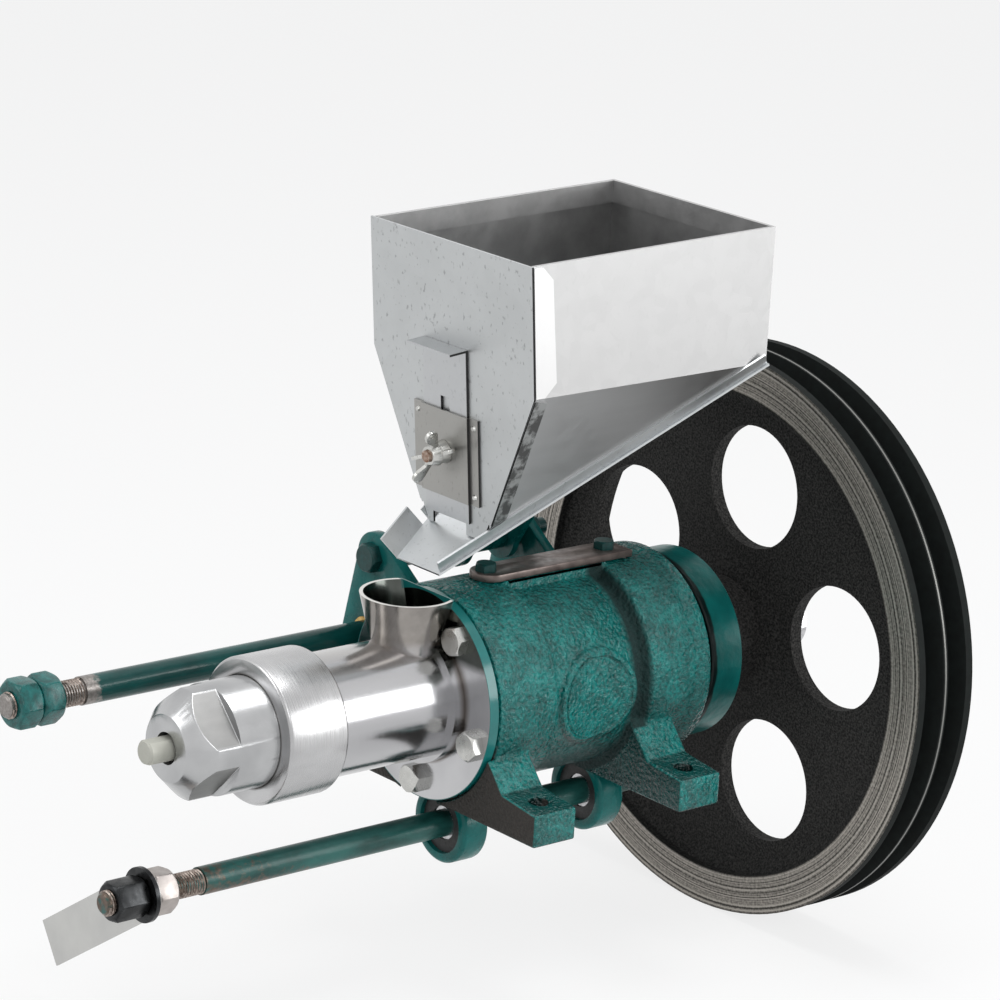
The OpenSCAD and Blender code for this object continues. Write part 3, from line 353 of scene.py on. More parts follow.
# %% [markdown]
# ## Green enamel on the casting
# The casting is brushed with glossy green enamel over a sand cast skin, so its bumps catch
# small bright lights. The ground is a patchy green. The lumps get painted shade in their
# hollows and a painted highlight on their crowns, and one noise drives both: dark where it is
# low, pale where it is high.

# %% Casting enamel
shaft_height = 0.071
cast_green = Finish("green_enamel_on_casting", (0.003, 0.09, 0.08), 0.0, 0.3)
tone = cast_green.noise(60, 5, 0.65)
cast_green.color(cast_green.blend(cast_green.span(tone, 0.38, 0.62),
    (0.0008, 0.098, 0.090), (0.002, 0.195, 0.178)))
lumps = cast_green.noise(400, 2, 0.5)
# Painted shade in the hollows of the lumps, and a painted highlight on their crowns.
cast_green.over(cast_green.span(lumps, 0.50, 0.34, 0, 0.5), (0.0005, 0.028, 0.026))
cast_green.over(cast_green.span(lumps, 0.58, 0.72, 0, 0.3), (0.03, 0.36, 0.335))
# Painted shade: faces that look down are darkened.
painted_underside_shade = cast_green.span(cast_green.facing("Z"), -0.05, -0.7, 0, 0.85)
cast_green.over(painted_underside_shade, (0.0008, 0.020, 0.019))
cast_green.tell()

# %% [markdown]
# ## Shade and soot on the casting
# The low faces towards the die are painted dark as shade, and on the front foot they are also
# sooty. The round groove is painted dark as shade, the tops of the feet are darker, and the
# bolt holes get painted dark discs for the shade inside them. Each mark is a product of shares:
# facing this way, and lower than this, and no further out than that.

# %% Dark faces below the barrel
# Painted shade on the low faces that look towards the die.
toward_die = cast_green.span(cast_green.facing("Y"), -0.8, -0.95)
low_down = cast_green.span(cast_green.axis("Z"), 0.056, 0.044)
fronts = cast_green.both(toward_die, low_down)
cast_green.over(cast_green.both(fronts, 0.8), (0.001, 0.020, 0.019))
cast_green.tell()

# %% Round groove
groove_front = 0.0465
groove_back = 0.0560
band_radius = 0.0730
along_casting = cast_green.axis("Y")
groove_sides = cast_green.both(
    cast_green.span(along_casting, groove_front - 0.006, groove_front),
    cast_green.span(along_casting, groove_back + 0.003, groove_back))
within_bands = cast_green.span(cast_green.radius(0, shaft_height),
    band_radius + 0.0015, band_radius)
# Painted shade in the round groove between the bands.
painted_groove_shade = cast_green.both(groove_sides, within_bands)
cast_green.over(cast_green.both(painted_groove_shade, 0.92), (0.0006, 0.010, 0.0095))
cast_green.tell()

# %% Feet and their bolt holes
foot_bolt_x = 0.100
foot_bolt_y = 0.063
bolt_hole_radius = 0.0064
foot_top = cast_green.both(cast_green.span(cast_green.facing("Z"), 0.75, 0.9),
    cast_green.span(cast_green.axis("Z"), 0.036, 0.028))
cast_green.over(cast_green.both(foot_top, 0.75), (0.001, 0.026, 0.024))
squares = []
for letter, middle in (("X", foot_bolt_x), ("Y", foot_bolt_y)):
    offset = cast_green.math("SUBTRACT",
        cast_green.math("ABSOLUTE", cast_green.axis(letter)), middle)
    squares.append(cast_green.both(offset, offset))
from_bolt = cast_green.math("SQRT", cast_green.math("ADD", *squares))
# Painted shade: a dark disc over each bolt hole stands in for the shade inside it.
cast_green.over(cast_green.span(from_bolt, bolt_hole_radius + 0.0008, bolt_hole_radius),
    (0.0006, 0.006, 0.006))
cast_green.tell()

# %% Soot, gloss and bumps
bare = cast_green.both(fronts, cast_green.span(cast_green.axis("Y"), 0.0, -0.02))
cast_green.over(bare, cast_green.blend(cast_green.noise(900, 3),
    (0.006, 0.007, 0.0065), (0.050, 0.042, 0.036)))
cast_green.rough(cast_green.span(cast_green.either(bare, painted_groove_shade), 0, 1, 0.17, 0.75))
cast_green.bump(cast_green.cells(330, "SMOOTH_F1"), 0.0014, 0.6)
cast_green.bump(lumps, 0.0021, 1.0)
cast_green.gloss(0.4)
cast_green.tell()

# %% [markdown]
# ## Green on turned parts
# Turned rings and sawn plates carry the same enamel over a smooth skin. The casting's finish
# could be reused, but its lumps would look like rust here, so these get a finer and flatter
# bump. On the big nut behind the casting, a ragged black band next to the joint is painted
# shade.

# %% Smooth green
def smooth_enamel(name, dark, light):
    one = Finish(name, (0.004, 0.12, 0.11), 0.0, 0.25)
    one.color(one.blend(one.span(one.noise(45, 4), 0.3, 0.7), dark, light))
    one.bump(one.noise(160, 3), 0.0009, 0.4)
    one.gloss(0.25)
    return one

turned_green = smooth_enamel("green_enamel_smooth", (0.002, 0.080, 0.075), (0.004, 0.150, 0.140))
turned_green.rough(turned_green.span(turned_green.noise(90, 3), 0.3, 0.7, 0.18, 0.38))
turned_green.tell()

# %% Rear nut
painted_shade_ends_y = 0.1219
nut_green = smooth_enamel("green_enamel_on_the_rear_nut",
    (0.002, 0.070, 0.066), (0.004, 0.140, 0.130))
nut_green.rough(0.3)
waver = nut_green.both(nut_green.noise(60, 3), 0.004)
ragged = nut_green.math("ADD", nut_green.axis("Y"), waver)
# Painted shade: a ragged black band along the front of the nut, next to the joint.
nut_green.over(nut_green.span(ragged, painted_shade_ends_y + 0.0013, painted_shade_ends_y),
    (0.0008, 0.006, 0.006))
nut_green.tell()

# %% [markdown]
# ## Green on the two rods
# The rods are handled most. Brush strokes run along them, which a noise shows when its space is
# squeezed along Y. The upper rod is bare at its threaded end, and the knife shaft is rubbed
# brown ever more towards the knife: a slope along Y is added to a noise, then cut hard. On the
# knife shaft the same brown is laid more on faces that look down, as painted shade.

# %% Upper rod
def brushed_ground(one, scale, squeeze, dark, light):
    stroke = one.noise(scale, 4, 0.6, one.at(stretch=(1, squeeze, 1)))
    one.color(one.blend(one.span(stroke, 0.35, 0.65), dark, light))

worn_from_y = -0.274
thread_starts_y = -0.290
rod_green = Finish("green_enamel_on_rods", (0.006, 0.12, 0.11), 0.0, 0.25)
brushed_ground(rod_green, 40, 0.25, (0.0015, 0.032, 0.030), (0.004, 0.085, 0.078))
bare_end = rod_green.span(rod_green.axis("Y"), worn_from_y, thread_starts_y)
ragged = rod_green.span(rod_green.math("ADD", bare_end, rod_green.noise(120, 3)), 1.0, 1.15)
rod_green.over(ragged, rod_green.blend(rod_green.noise(500, 3),
    (0.10, 0.085, 0.08), (0.42, 0.40, 0.38)))
rod_green.metal(ragged)
rod_green.rough(rod_green.span(ragged, 0, 1, 0.22, 0.36))
rod_green.bump(rod_green.noise(220, 3), 0.0006, 0.3)
rod_green.gloss(0.35)
rod_green.tell()

# %% Knife shaft
worn_green = Finish("worn_green_on_the_knife_shaft", (0.012, 0.07, 0.06), 0.0, 0.34)
brushed_ground(worn_green, 60, 0.35, (0.006, 0.045, 0.040), (0.022, 0.125, 0.110))
toward_knife = worn_green.span(worn_green.axis("Y"), -0.13, -0.285, 0.0, 0.42)
rubbed_and_shaded = worn_green.math("ADD", worn_green.noise(150, 4, 0.65), toward_knife)
# Painted shade: faces that look down get more of the brown.
underside_shade = worn_green.span(worn_green.facing("Z"), 0.1, -0.8, 0, 0.16)
rubbed_and_shaded = worn_green.span(worn_green.math("ADD", rubbed_and_shaded, underside_shade), 0.80, 0.98)
worn_green.over(rubbed_and_shaded, worn_green.blend(worn_green.noise(400, 3),
    (0.045, 0.030, 0.020), (0.20, 0.15, 0.12)))
worn_green.metal(worn_green.both(rubbed_and_shaded, 0.5))
worn_green.bump(worn_green.noise(260, 3), 0.0006, 0.35)
worn_green.gloss(0.35)
worn_green.tell()

# %% Painted bolts
bolt_green = Finish("dark_green_on_bolts", (0.006, 0.06, 0.058), 0.0, 0.4)
bolt_green.color(bolt_green.blend(bolt_green.noise(300, 3),
    (0.0015, 0.012, 0.012), (0.008, 0.085, 0.08)))
bolt_green.gloss(0.3)
bolt_green.rough(0.35)
bolt_green.bump(bolt_green.noise(500, 3), 0.0004, 0.4)
bolt_green.tell()

# %% [markdown]
# ## The barrel
# The barrel is turned, then polished by hand, so it mirrors the studio. Long soft streaks along
# it are painted reflection in its tone, with fine rings round them. Real rings would need
# thousands of faces; a bump that only changes along the axis draws them. Heat from the weld has
# browned the steel round the feed port.

# %% Barrel steel
def rings_along(finish, scale, stretch):
    return finish.noise(scale, 2, 0.6, finish.at(stretch=stretch))

barrel_steel = Finish("polished_barrel_steel", (0.55, 0.55, 0.56), 1.0, 0.1)
painted_reflection_streaks = barrel_steel.noise(22, 2, 0.5, barrel_steel.at(stretch=(1, 0.3, 1)))
# Painted reflection: soft streaks along the axis in the base tone.
barrel_steel.color(barrel_steel.blend(barrel_steel.span(painted_reflection_streaks, 0.35, 0.65),
    (0.42, 0.42, 0.43), (0.52, 0.52, 0.53)))
rings = rings_along(barrel_steel, 2600, (0.02, 1, 0.02))
barrel_steel.rough(barrel_steel.span(rings, 0.3, 0.7, 0.13, 0.21))
barrel_steel.bump(rings, 0.00004, 0.3)
barrel_steel.bump(barrel_steel.noise(60, 2), 0.0006, 0.12)
barrel_steel.tell()

# %% [markdown]
# ## Round the feed port
# The browning is a ball of influence about the foot of the port, with a wavering edge. Higher up
# the port is darkened all over, by brown heat tint and by painted dark reflection, and its
# ground lip is bright. Inside it is painted dark as shade, and whether a face belongs to the
# inside is told by asking if it looks back to the port's axis.

# %% Scorched port, darkened higher up
port_y = -0.098
port_foot_z = 0.112
from_port = barrel_steel.math("ADD",
    barrel_steel.distance((0, port_y, port_foot_z), (1, 0.9, 1.1)),
    barrel_steel.both(barrel_steel.noise(130, 3), 0.012))
scorch = barrel_steel.span(from_port, 0.036, 0.024)
barrel_steel.over(barrel_steel.both(scorch, 0.6), barrel_steel.blend(
    barrel_steel.noise(170, 4, 0.6), (0.11, 0.075, 0.05), (0.42, 0.37, 0.33)))
up_the_port = barrel_steel.both(barrel_steel.span(barrel_steel.axis("Z"), 0.110, 0.118),
    barrel_steel.span(barrel_steel.axis("Y"), -0.070, -0.072))
# Painted dark reflection together with brown heat tint, higher up the port.
barrel_steel.over(barrel_steel.both(up_the_port, 0.85), barrel_steel.blend(
    barrel_steel.noise(60, 3, 0.6), (0.13, 0.115, 0.10), (0.40, 0.37, 0.34)))
barrel_steel.tell()

# %% Inside and lip of the port
looks_back = barrel_steel.span(barrel_steel.outward((0, port_y, 0), (1, 1, 0)), -0.001, -0.004)
port_inside_shade = barrel_steel.both(looks_back, barrel_steel.span(barrel_steel.axis("Z"), 0.100, 0.106))
# Painted shade inside the port.
barrel_steel.over(port_inside_shade, barrel_steel.blend(barrel_steel.noise(90, 3),
    (0.045, 0.050, 0.045), (0.13, 0.14, 0.13)))
port_lip = barrel_steel.both(up_the_port, barrel_steel.span(barrel_steel.facing("Z"), 0.7, 0.8))
barrel_steel.over(port_lip, (0.7, 0.69, 0.66))
barrel_steel.tell()

# %% [markdown]
# ## The barrel's flange
# The corner beside the flange is darker and brown, and the brush that painted the casting also
# painted the flange's rim. The distance from the shaft picks out both.

# %% Flange
step_front_y = -0.0842
step_radius = 0.0445
flange_front_y = -0.0832
flange_radius = 0.0707
off_axis = barrel_steel.radius(0, shaft_height)
along_barrel = barrel_steel.axis("Y")
beside_flange = barrel_steel.both(
    barrel_steel.span(along_barrel, step_front_y - 0.0033, step_front_y),
    barrel_steel.span(off_axis, step_radius + 0.0025, step_radius))
barrel_steel.over(barrel_steel.both(beside_flange, 0.8), (0.10, 0.075, 0.055))
flange_rim = barrel_steel.both(
    barrel_steel.span(off_axis, flange_radius - 0.0004, flange_radius),
    barrel_steel.span(along_barrel, flange_front_y - 0.0008, flange_front_y))
barrel_steel.over(flange_rim, barrel_steel.blend(barrel_steel.noise(80, 3),
    (0.005, 0.12, 0.115), (0.012, 0.20, 0.19)))
barrel_steel.metal(barrel_steel.span(flange_rim, 0, 1, 1, 0))
barrel_steel.tell()

# %% [markdown]
# ## Collar and nose
# The union collar shows coarse tool rings and a dark seam where it grips its neighbours. The
# nose is turned too, but its wrench flats are milled: duller, darker, with strokes across. A
# flat is any face near the shaft that doesn't look along it.

# %% Union collar
collar_back_y = -0.1800
collar_bore_radius = 0.0372
collar_steel = Finish("turned_collar_steel", (0.58, 0.58, 0.585), 1.0, 0.22)
patch = collar_steel.noise(30, 3, 0.55, collar_steel.at(stretch=(1, 0.4, 1)))
collar_steel.color(collar_steel.blend(collar_steel.span(patch, 0.35, 0.65),
    (0.42, 0.42, 0.425), (0.54, 0.54, 0.545)))
seam = collar_steel.either(
    collar_steel.span(collar_steel.axis("Y"), collar_back_y - 0.0008, collar_back_y),
    collar_steel.span(collar_steel.radius(0, shaft_height),
        collar_bore_radius + 0.0013, collar_bore_radius))
collar_steel.over(collar_steel.both(seam, 0.7), (0.08, 0.07, 0.06))
rings = rings_along(collar_steel, 1700, (0.004, 1, 0.004))
collar_steel.rough(collar_steel.span(rings, 0.3, 0.7, 0.2, 0.34))
collar_steel.bump(rings, 0.00006, 0.4)
collar_steel.bump(collar_steel.noise(45, 2), 0.0006, 0.15)
collar_steel.tell()

# %% Die nose
nose_round_radius = 0.0362
nose_steel = Finish("milled_nose_steel", (0.5, 0.5, 0.5), 1.0, 0.3)
nose_steel.color(nose_steel.blend(nose_steel.span(nose_steel.noise(26, 3), 0.35, 0.65),
    (0.40, 0.405, 0.41), (0.50, 0.505, 0.51)))
beside_shaft = nose_steel.span(nose_steel.math("ABSOLUTE", nose_steel.facing("Y")), 0.3, 0.2)
flat = nose_steel.both(nose_steel.span(nose_steel.radius(0, shaft_height),
    nose_round_radius, nose_round_radius - 0.0007), beside_shaft)
grain = nose_steel.noise(110, 3, 0.55, nose_steel.at(stretch=(1, 0.5, 1)))
nose_steel.over(flat, nose_steel.blend(grain, (0.24, 0.24, 0.24), (0.32, 0.32, 0.315)))
nose_steel.rough(nose_steel.span(flat, 0, 1, 0.24, 0.5))
nose_steel.bump(rings_along(nose_steel, 1500, (0.03, 1, 0.03)), 0.00008, 0.4)
strokes = nose_steel.noise(1500, 2, 0.5, nose_steel.at(stretch=(1, 0.06, 1)))
nose_steel.bump(strokes, 0.0001, 0.4)
nose_steel.tell()

# %% [markdown]
# ## Small steels
# Nuts, pins, shafts and bearings are too small for marks of their own. One recipe serves them
# all: two tones mixed by a noise, a second noise for the shine, and a faint bump. They differ
# in their tones, in how rough they are and in how large the patches are.

# %% Small steels
def plain_steel(name, dark, light, rough, scale=300, metal=1.0):
    one = Finish(name, light, metal, rough)
    patch = one.noise(scale, 3, 0.5)
    one.color(one.blend(one.span(patch, 0.3, 0.7), dark, light))
    shine = one.span(one.noise(scale * 2.5, 2), 0.3, 0.7, max(rough - 0.08, 0.05), rough + 0.1)
    one.rough(shine)
    one.bump(patch, 0.0003, 0.25)
    one.tell()
    return one

pin_steel = plain_steel("ground_pin_steel", (0.42, 0.42, 0.37), (0.47, 0.47, 0.42), 0.6, 60, 0.3)
zinc_steel = plain_steel("zinc_plate", (0.46, 0.46, 0.44), (0.60, 0.60, 0.58), 0.3, 70)
bearing_steel = plain_steel("ground_bearing_steel", (0.32, 0.32, 0.33), (0.55, 0.55, 0.56), 0.22)
bright_steel = plain_steel("bright_shaft_steel", (0.42, 0.42, 0.43), (0.66, 0.66, 0.67), 0.25)
dark_steel = plain_steel("blackened_steel",
    (0.020, 0.021, 0.022), (0.050, 0.052, 0.054), 0.32, 120)
beige_zinc = plain_steel("yellowed_zinc_plate", (0.36, 0.33, 0.31), (0.52, 0.48, 0.46), 0.4, 60)
knife_steel = plain_steel("plain_knife_steel", (0.50, 0.50, 0.49), (0.55, 0.55, 0.535), 0.5, 30)
bar_steel = plain_steel("browned_bar_steel",
    (0.10, 0.078, 0.070), (0.21, 0.17, 0.155), 0.36, 90, 0.6)
stud_steel = plain_steel("rusty_stud_steel", (0.16, 0.07, 0.035), (0.50, 0.42, 0.36), 0.4, 400)
thread_steel = plain_steel("browned_thread_steel",
    (0.09, 0.065, 0.055), (0.42, 0.36, 0.32), 0.36, 500)

# %% Bronze, painted nuts and rubber
bronze = plain_steel("bush_bronze", (0.36, 0.22, 0.07), (0.58, 0.40, 0.16), 0.3)
green_nut = plain_steel("green_enamel_on_nuts",
    (0.003, 0.05, 0.047), (0.010, 0.15, 0.14), 0.26, 220, 0.0)
green_nut.gloss(0.35)
seal_rubber = plain_steel("seal_rubber",
    (0.012, 0.012, 0.012), (0.03, 0.03, 0.03), 0.6, 300, 0.0)

# %% [markdown]
# ## Galvanised sheet
# The hopper is folded from zinc coated sheet: a pale skin with a faint crystal pattern, small
# dark specks and rubbed smudges. Cells give the crystals, and a tight cut on a noise gives
# specks of uneven size. A photographed sheet would show its edges where panels meet.

# %% Zinc skin
def zinc_skin(name, tint, rough, specks, patchy=0.3):
    one = Finish(name, tint, 1.0, rough)
    grey = one.tree.nodes.new("ShaderNodeRGBToBW")
    one.feed(grey.inputs[0], one.cells(120, out="Color"))
    crystal = grey.outputs[0]
    one.color(one.blend(one.span(crystal, 0.2, 0.8), [c * 0.97 for c in tint], tint))
    smudge = one.span(one.noise(16, 4, 0.55), 0.45, 0.75, 0, patchy)
    one.over(smudge, [c * 0.78 for c in tint])
    drawn = one.at(stretch=(1, 1, 0.55))
    speck = one.span(one.noise(430, 2, 0.5, drawn), 0.63, 0.72, 0, specks)
    one.over(speck, [c * 0.4 for c in tint])
    one.rough(one.span(crystal, 0, 1, rough - 0.02, rough + 0.03))
    one.bump(one.noise(8, 2), 0.004, 0.2 * patchy)
    one.bump(crystal, 0.0001, 0.25)
    return one

# %% [markdown]
# ## Inside the hopper
# The inside is painted darker as shade, with stains over it, and the folded hem at the rim is
# left lighter and mottled. A face belongs to the inside when it looks back to the middle of the
# hopper, so both skins of one thin wall can wear the same material.

# %% Shaded and stained inside
hopper_middle = (0, 0.03, 0.33)
hem_foot = 0.3615
rim_slope = 0.025

def shade_and_stain_inside(one, tint, inner):
    inside = one.span(one.outward(hopper_middle), 0.002, -0.002)
    stain = one.span(one.noise(34, 5, 0.62), 0.35, 0.7)
    # Painted shade: the inside takes a darker tint, with stains over it.
    dull = one.blend(stain, inner, [c * 0.7 for c in inner])
    rim_line = one.math("SUBTRACT", one.axis("Z"), one.both(one.axis("Y"), rim_slope))
    hem = one.span(rim_line, hem_foot - 0.001, hem_foot)
    mottled_hem = one.blend(one.span(one.noise(70, 4, 0.6), 0.4, 0.62),
        [c * 0.95 for c in tint], inner)
    one.over(inside, one.blend(hem, dull, mottled_hem))

# %% [markdown]
# ## The hopper's walls
# The front wall's folded flanges get a painted highlight on faces that look to the side, and
# the flange faces that look down are painted darker and mottled, as shade and dark reflection.
# A painted shadow line marks the open edge of the fold. The side walls are plainer, and their
# sloping panels get painted shade that deepens towards the back, with a wavering edge.

# %% Front wall
front_tint = (0.52, 0.535, 0.54)
inside_shade_tint = (0.42, 0.42, 0.42)
front_zinc = zinc_skin("sheet_of_the_front_wall", front_tint, 0.42, 0.55)
shade_and_stain_inside(front_zinc, front_tint, inside_shade_tint)
sideways = front_zinc.facing("X")
low_flange_shade = front_zinc.both(front_zinc.span(sideways, 0.6, 0.8),
    front_zinc.span(front_zinc.facing("Z"), -0.2, -0.35))
# Painted shade and dark reflection, mottled, on the flange faces that look down.
front_zinc.over(low_flange_shade, front_zinc.blend(
    front_zinc.span(front_zinc.noise(110, 4, 0.6), 0.42, 0.56),
    (0.12, 0.12, 0.12), (0.42, 0.43, 0.43)))
# Painted highlight on the faces that look to the side.
front_zinc.over(front_zinc.span(sideways, 0.93, 0.97), (0.66, 0.66, 0.66))
front_zinc.tell()

# %% Open edge of the front fold
break_height = 0.288
front_slope = 0.091
edge_at_break = 0.070465
lean = front_zinc.both(front_zinc.math("SUBTRACT", front_zinc.axis("Z"), break_height),
    front_slope)
from_edge = front_zinc.math("ADD",
    front_zinc.math("ADD", front_zinc.axis("Y"), edge_at_break), lean)
fold_shadow_line = front_zinc.both(front_zinc.span(sideways, 0.7, 0.9),
    front_zinc.span(from_edge, 0.0020, 0.0014))
# Painted shadow line along the open edge of the fold.
front_zinc.over(fold_shadow_line, (0.02, 0.02, 0.02))
front_zinc.tell()

# %% Side walls
side_tint = (0.50, 0.50, 0.50)
side_zinc = zinc_skin("sheet_of_the_side_walls", side_tint, 0.4, 0.05, 0.1)
shade_and_stain_inside(side_zinc, side_tint, inside_shade_tint)
shade_waver = side_zinc.noise(60, 3, 0.6, side_zinc.at(stretch=(1, 0.15, 1)))
to_the_back = side_zinc.span(side_zinc.math("ADD", side_zinc.axis("Y"),
    side_zinc.both(shade_waver, 0.05)), -0.03, 0.13)
# Painted shade on the sloping panels, deeper towards the back.
shade = side_zinc.blend(to_the_back, (0.47, 0.475, 0.48), (0.25, 0.25, 0.25))
side_zinc.over(side_zinc.span(side_zinc.facing("Z"), -0.15, -0.3), shade)
side_zinc.tell()

# %% [markdown]
# ## Floor, slide and guide
# The hopper's floor is the cleanest sheet. The slide and the guide plate were sheared and stand
# off the wall; their edges that look along X are painted dark as the shadow in that gap.

# %% Floor, slide and guide
floor_zinc = zinc_skin("sheet_of_the_floor", (0.58, 0.60, 0.61), 0.38, 0.3)

def sheet_with_edge_shadow(name, tint, rough):
    one = zinc_skin(name, tint, rough, 0.25)
    edge = one.span(one.facing("X"), 0.85, 0.95)
    # Painted shadow: the edges that look along X are painted dark for the gap beside them.
    one.over(edge, (0.02, 0.02, 0.02))
    one.metal(one.span(edge, 0, 1, 1, 0.2))
    one.tell()
    return one

slide_zinc = sheet_with_edge_shadow("sheet_of_the_slide", (0.50, 0.51, 0.52), 0.36)
guide_zinc = sheet_with_edge_shadow("dull_sheet_of_the_guide", (0.36, 0.355, 0.34), 0.4)

# %% [markdown]
# ## Pulley iron
# The pulley is a black sand casting. Only the rim's side face and its tread are turned, which
# leaves close concentric lines, and the tread with its belt grooves is darker still, with a
# faint green tinge; a thin painted highlight runs along the ridge between the belts. The
# distance from the shaft tells which zone a point is in, so one finish covers the wheel.

# %% Cast and turned iron
wheel_radius = 0.2
lines_per_metre = 620
wheel_iron = Finish("black_cast_pulley", (0.02, 0.02, 0.02), 0.0, 0.5)
reach = wheel_iron.radius(0, shaft_height)
sand = wheel_iron.noise(650, 3, 0.6)
wheel_iron.color(wheel_iron.blend(wheel_iron.span(sand, 0.38, 0.72),
    (0.006, 0.006, 0.006), (0.060, 0.058, 0.055)))
tool_lines = wheel_iron.tree.nodes.new("ShaderNodeTexNoise")
tool_lines.noise_dimensions = "1D"
tool_lines.inputs["Detail"].default_value = 2
tool_lines.inputs["Scale"].default_value = 1.0
wheel_iron.feed(tool_lines.inputs["W"], wheel_iron.both(reach, lines_per_metre))
lines = tool_lines.outputs["Fac"]
wheel_iron.tell()

# %% Zones of the wheel
rim_starts = 0.87
on_rim = wheel_iron.span(reach, wheel_radius * (rim_starts - 0.006), wheel_radius * rim_starts)
along_shaft = wheel_iron.math("ABSOLUTE", wheel_iron.facing("Y"))
turned_side = wheel_iron.both(on_rim, wheel_iron.span(along_shaft, 0.97, 0.99))
wheel_iron.over(on_rim, wheel_iron.blend(wheel_iron.noise(140, 3),
    (0.003, 0.003, 0.003), (0.010, 0.014, 0.013)))
speckled = wheel_iron.math("ADD", lines, wheel_iron.both(wheel_iron.noise(500, 2, 0.5), 0.4))
wheel_iron.over(turned_side, wheel_iron.blend(wheel_iron.span(speckled, 0.55, 0.85),
    (0.045, 0.042, 0.037), (0.42, 0.39, 0.35)))
wheel_iron.tell()

# %% Ridge between the belts
ridge_y = 0.203
from_ridge = wheel_iron.math("ABSOLUTE", wheel_iron.math("SUBTRACT",
    wheel_iron.axis("Y"), ridge_y))
# Painted highlight: a thin pale line along the crest of the ridge between the belts.
ridge_highlight = wheel_iron.both(
    wheel_iron.span(reach, wheel_radius * 0.998, wheel_radius * 0.9995),
    wheel_iron.span(from_ridge, 0.0009, 0.0005))
wheel_iron.over(ridge_highlight, (0.20, 0.20, 0.19))
bright_iron = wheel_iron.either(turned_side, ridge_highlight)
wheel_iron.metal(wheel_iron.span(bright_iron, 0, 1, 0.0, 0.5))
wheel_iron.rough(wheel_iron.span(bright_iron, 0, 1, 0.75, 0.4))
wheel_iron.gloss(0.15)
wheel_iron.bump(wheel_iron.both(sand, wheel_iron.span(on_rim, 0, 1, 1, 0.05)), 0.0012, 0.7)
wheel_iron.bump(wheel_iron.both(lines, turned_side), 0.0003, 0.5)
wheel_iron.tell()

# %% [markdown]
# ## Which part wears which finish
# The CAD nodes keep their shape and place. Each one only gets its material slot filled with a
# finish. A table by finish keeps the choice in one place, where it is easy to read and change.

# %% Dress the solids
worn_by = (
    (cast_green, "housing"),
    (turned_green, "front_cover cutter_ring_front cutter_ring_rear bracket_plate_front"
        " bracket_plate_rear spacer_tube hopper_straps"),
    (nut_green, "rear_bearing_nut"),
    (bearing_steel, "main_bearing_outer_rings main_bearing_balls main_bearing_inner_rings"
        " cutter_bearing_outer_rings cutter_bearing_balls cutter_bearing_inner_rings"),
    (bright_steel, "main_shaft pulley_key pulley_washer pulley_nut barrel_liner"),
    (wheel_iron, "pulley"), (barrel_steel, "barrel"), (collar_steel, "union_collar"),
    (nose_steel, "nose"), (pin_steel, "die_plate"), (bar_steel, "top_bar"),
    (zinc_steel, "flange_bolts hopper_rivets wing_nut_inner wing_nut_outer"),
    (dark_steel, "screw knife_washer knife_lock_nut"), (beige_zinc, "knife_back_nut"),
    (bolt_green, "top_bar_bolts tie_bolt tie_nut"), (seal_rubber, "cutter_bearing_shields"),
    (worn_green, "cutter_shaft"), (knife_steel, "knife"), (bronze, "rod_bushes"),
    (rod_green, "upper_rod"), (green_nut, "upper_rod_nuts"), (front_zinc, "hopper_front"),
    (side_zinc, "hopper_walls"), (floor_zinc, "hopper_floor"), (slide_zinc, "gate_slide"),
    (guide_zinc, "gate_guide"), (stud_steel, "gate_stud"))

def wear(piece, finish):
    piece.data.materials.clear()
    piece.data.materials.append(finish.mat)

for finish, names in worn_by:
    for name in names.split():
        wear(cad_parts[name], finish)
dressed = sum(len(names.split()) for finish, names in worn_by)
print(dressed, "of", len(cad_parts), "solids dressed")

# %% [markdown]
# ## Adding a piece
# Every piece that Blender makes is a plain mesh at the origin. It rides on one body of the
# mechanism, so that it moves with the joint, and it names the finish it wears.

# %% Piece helper
def add_piece(name, work, finish, body):
    mesh = bpy.data.meshes.new(name)
    work.to_mesh(mesh)
    work.free()
    piece = bpy.data.objects.new(name, mesh)
    bpy.context.scene.collection.objects.link(piece)
    wear(piece, finish)
    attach(piece, body)
    print(name, len(mesh.polygons), "faces on", body)
    return piece

# %% [markdown]
# ## Rounded edges
# A sand casting has no sharp edge, and sawn plates and turned rings are broken with a file.
# Each copy is merged, its flat faces are joined again, and every edge that turns by more than
# 35 degrees is bevelled. A modifier could do it too, but here the limit and the width stay
# together, and the smooth shading is cut only where the shape really turns. Where faces are
# narrower than the bevel, as on the wings of the wing nuts, the width is let shrink.

# %% Soften edges
merge_within = 0.00001
flat_within = math.radians(0.5)
sharp_from = math.radians(35)
shade_cut = math.radians(30)

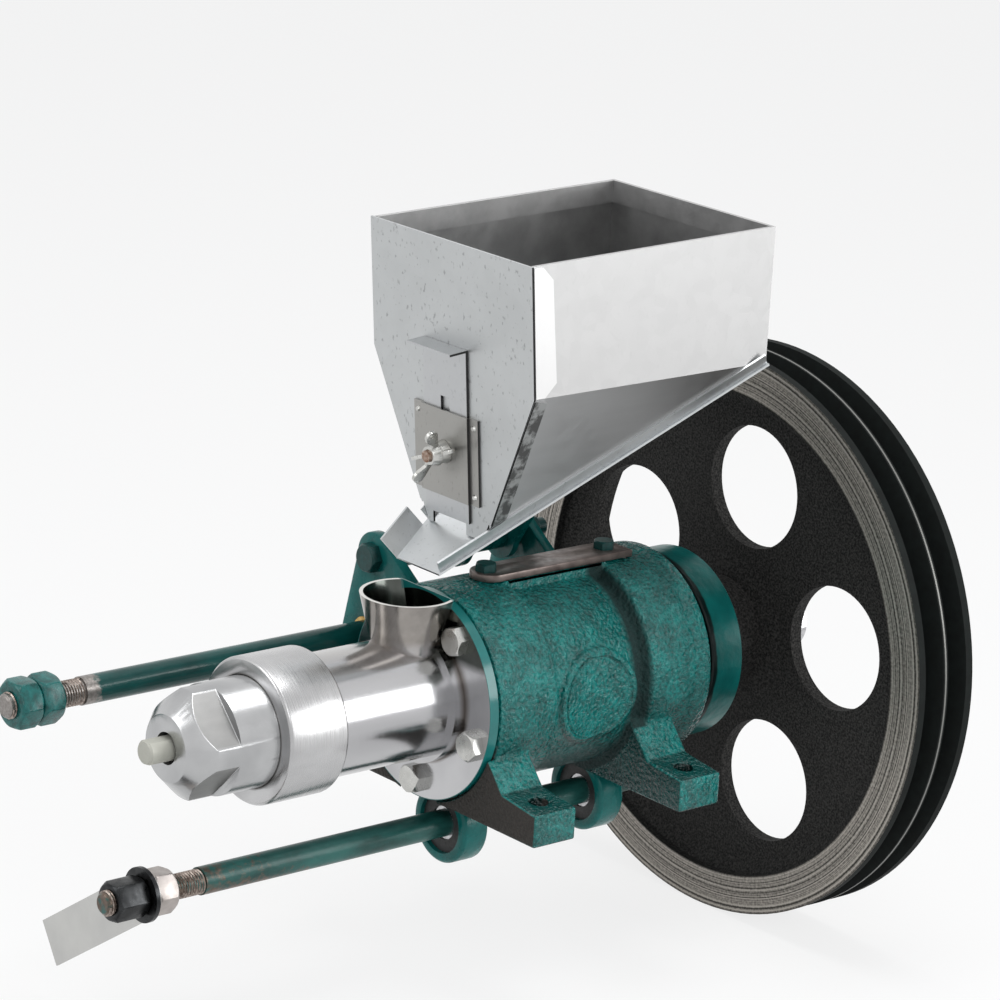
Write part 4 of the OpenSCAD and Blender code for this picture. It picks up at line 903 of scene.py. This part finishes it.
def softened(node, finish, width, body, keep_width=True):
    work = bmesh.new()
    work.from_mesh(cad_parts[node].data)
    bmesh.ops.remove_doubles(work, verts=work.verts, dist=merge_within)
    bmesh.ops.dissolve_limit(work, angle_limit=flat_within, verts=work.verts, edges=work.edges)
    sharp = [edge for edge in work.edges if edge.calc_face_angle(0) > sharp_from]
    bmesh.ops.bevel(work, geom=sharp, offset=width, offset_type="OFFSET", segments=2,
        profile=0.5, affect="EDGES", clamp_overlap=not keep_width, material=-1)
    piece = add_piece("soft_" + node, work, finish, body)
    for face in piece.data.polygons:
        face.use_smooth = True
    piece.data.set_sharp_from_angle(angle=shade_cut)
    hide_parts(node)

# %% Softened castings, plates and rings
softened("housing", cast_green, 0.0016, "frame")
for node in ("bracket_plate_front", "bracket_plate_rear"):
    softened(node, turned_green, 0.0009, "frame")
for node in ("cutter_ring_front", "cutter_ring_rear"):
    softened(node, turned_green, 0.0008, "frame")
softened("top_bar", bar_steel, 0.0008, "frame")
softened("union_collar", collar_steel, 0.0007, "frame")
softened("nose", nose_steel, 0.0005, "frame")

# %% Softened nuts
softened("knife_back_nut", beige_zinc, 0.0006, "cutter")
softened("knife_lock_nut", dark_steel, 0.0006, "cutter")
softened("upper_rod_nuts", green_nut, 0.0006, "rod")
for node in ("wing_nut_inner", "wing_nut_outer"):
    softened(node, zinc_steel, 0.0005, "wing_nuts", keep_width=False)

# %% [markdown]
# ## Threads
# The rod ends are cut with a coarse thread. A bump would stay smooth in outline, so a small
# roof of two edges is spun round the rod while it creeps along it, which leaves a true helical
# ridge. Its open underside lies inside the rod.

# %% Threads
pitch = 0.002
crest = 0.0009
root = 0.0003
steps_a_turn = 20

def thread(name, axis_at, start, length, radius, finish, body):
    turns = length / pitch
    x, z = axis_at
    half_foot = pitch * 0.42
    work = bmesh.new()
    corners = [work.verts.new((x + radius - root, start + side, z))
        for side in (-half_foot, half_foot)]
    corners.insert(1, work.verts.new((x + radius + crest, start, z)))
    roof = [work.edges.new((corners[i], corners[i + 1])) for i in range(2)]
    bmesh.ops.spin(work, geom=corners + roof, cent=(x, 0, z), axis=(0, 1, 0),
        dvec=(0, pitch / steps_a_turn, 0), angle=2 * math.pi * turns,
        steps=int(steps_a_turn * turns), use_merge=False)
    bmesh.ops.recalc_face_normals(work, faces=work.faces)
    add_piece(name, work, finish, body)

thread("upper_rod_thread", (-0.090, 0.083), start=-0.3475, length=0.0555, radius=0.0080,
    finish=thread_steel, body="rod")
thread("knife_shaft_thread", (0.010, -0.0193), start=-0.3385, length=0.073, radius=0.0075,
    finish=thread_steel, body="cutter")
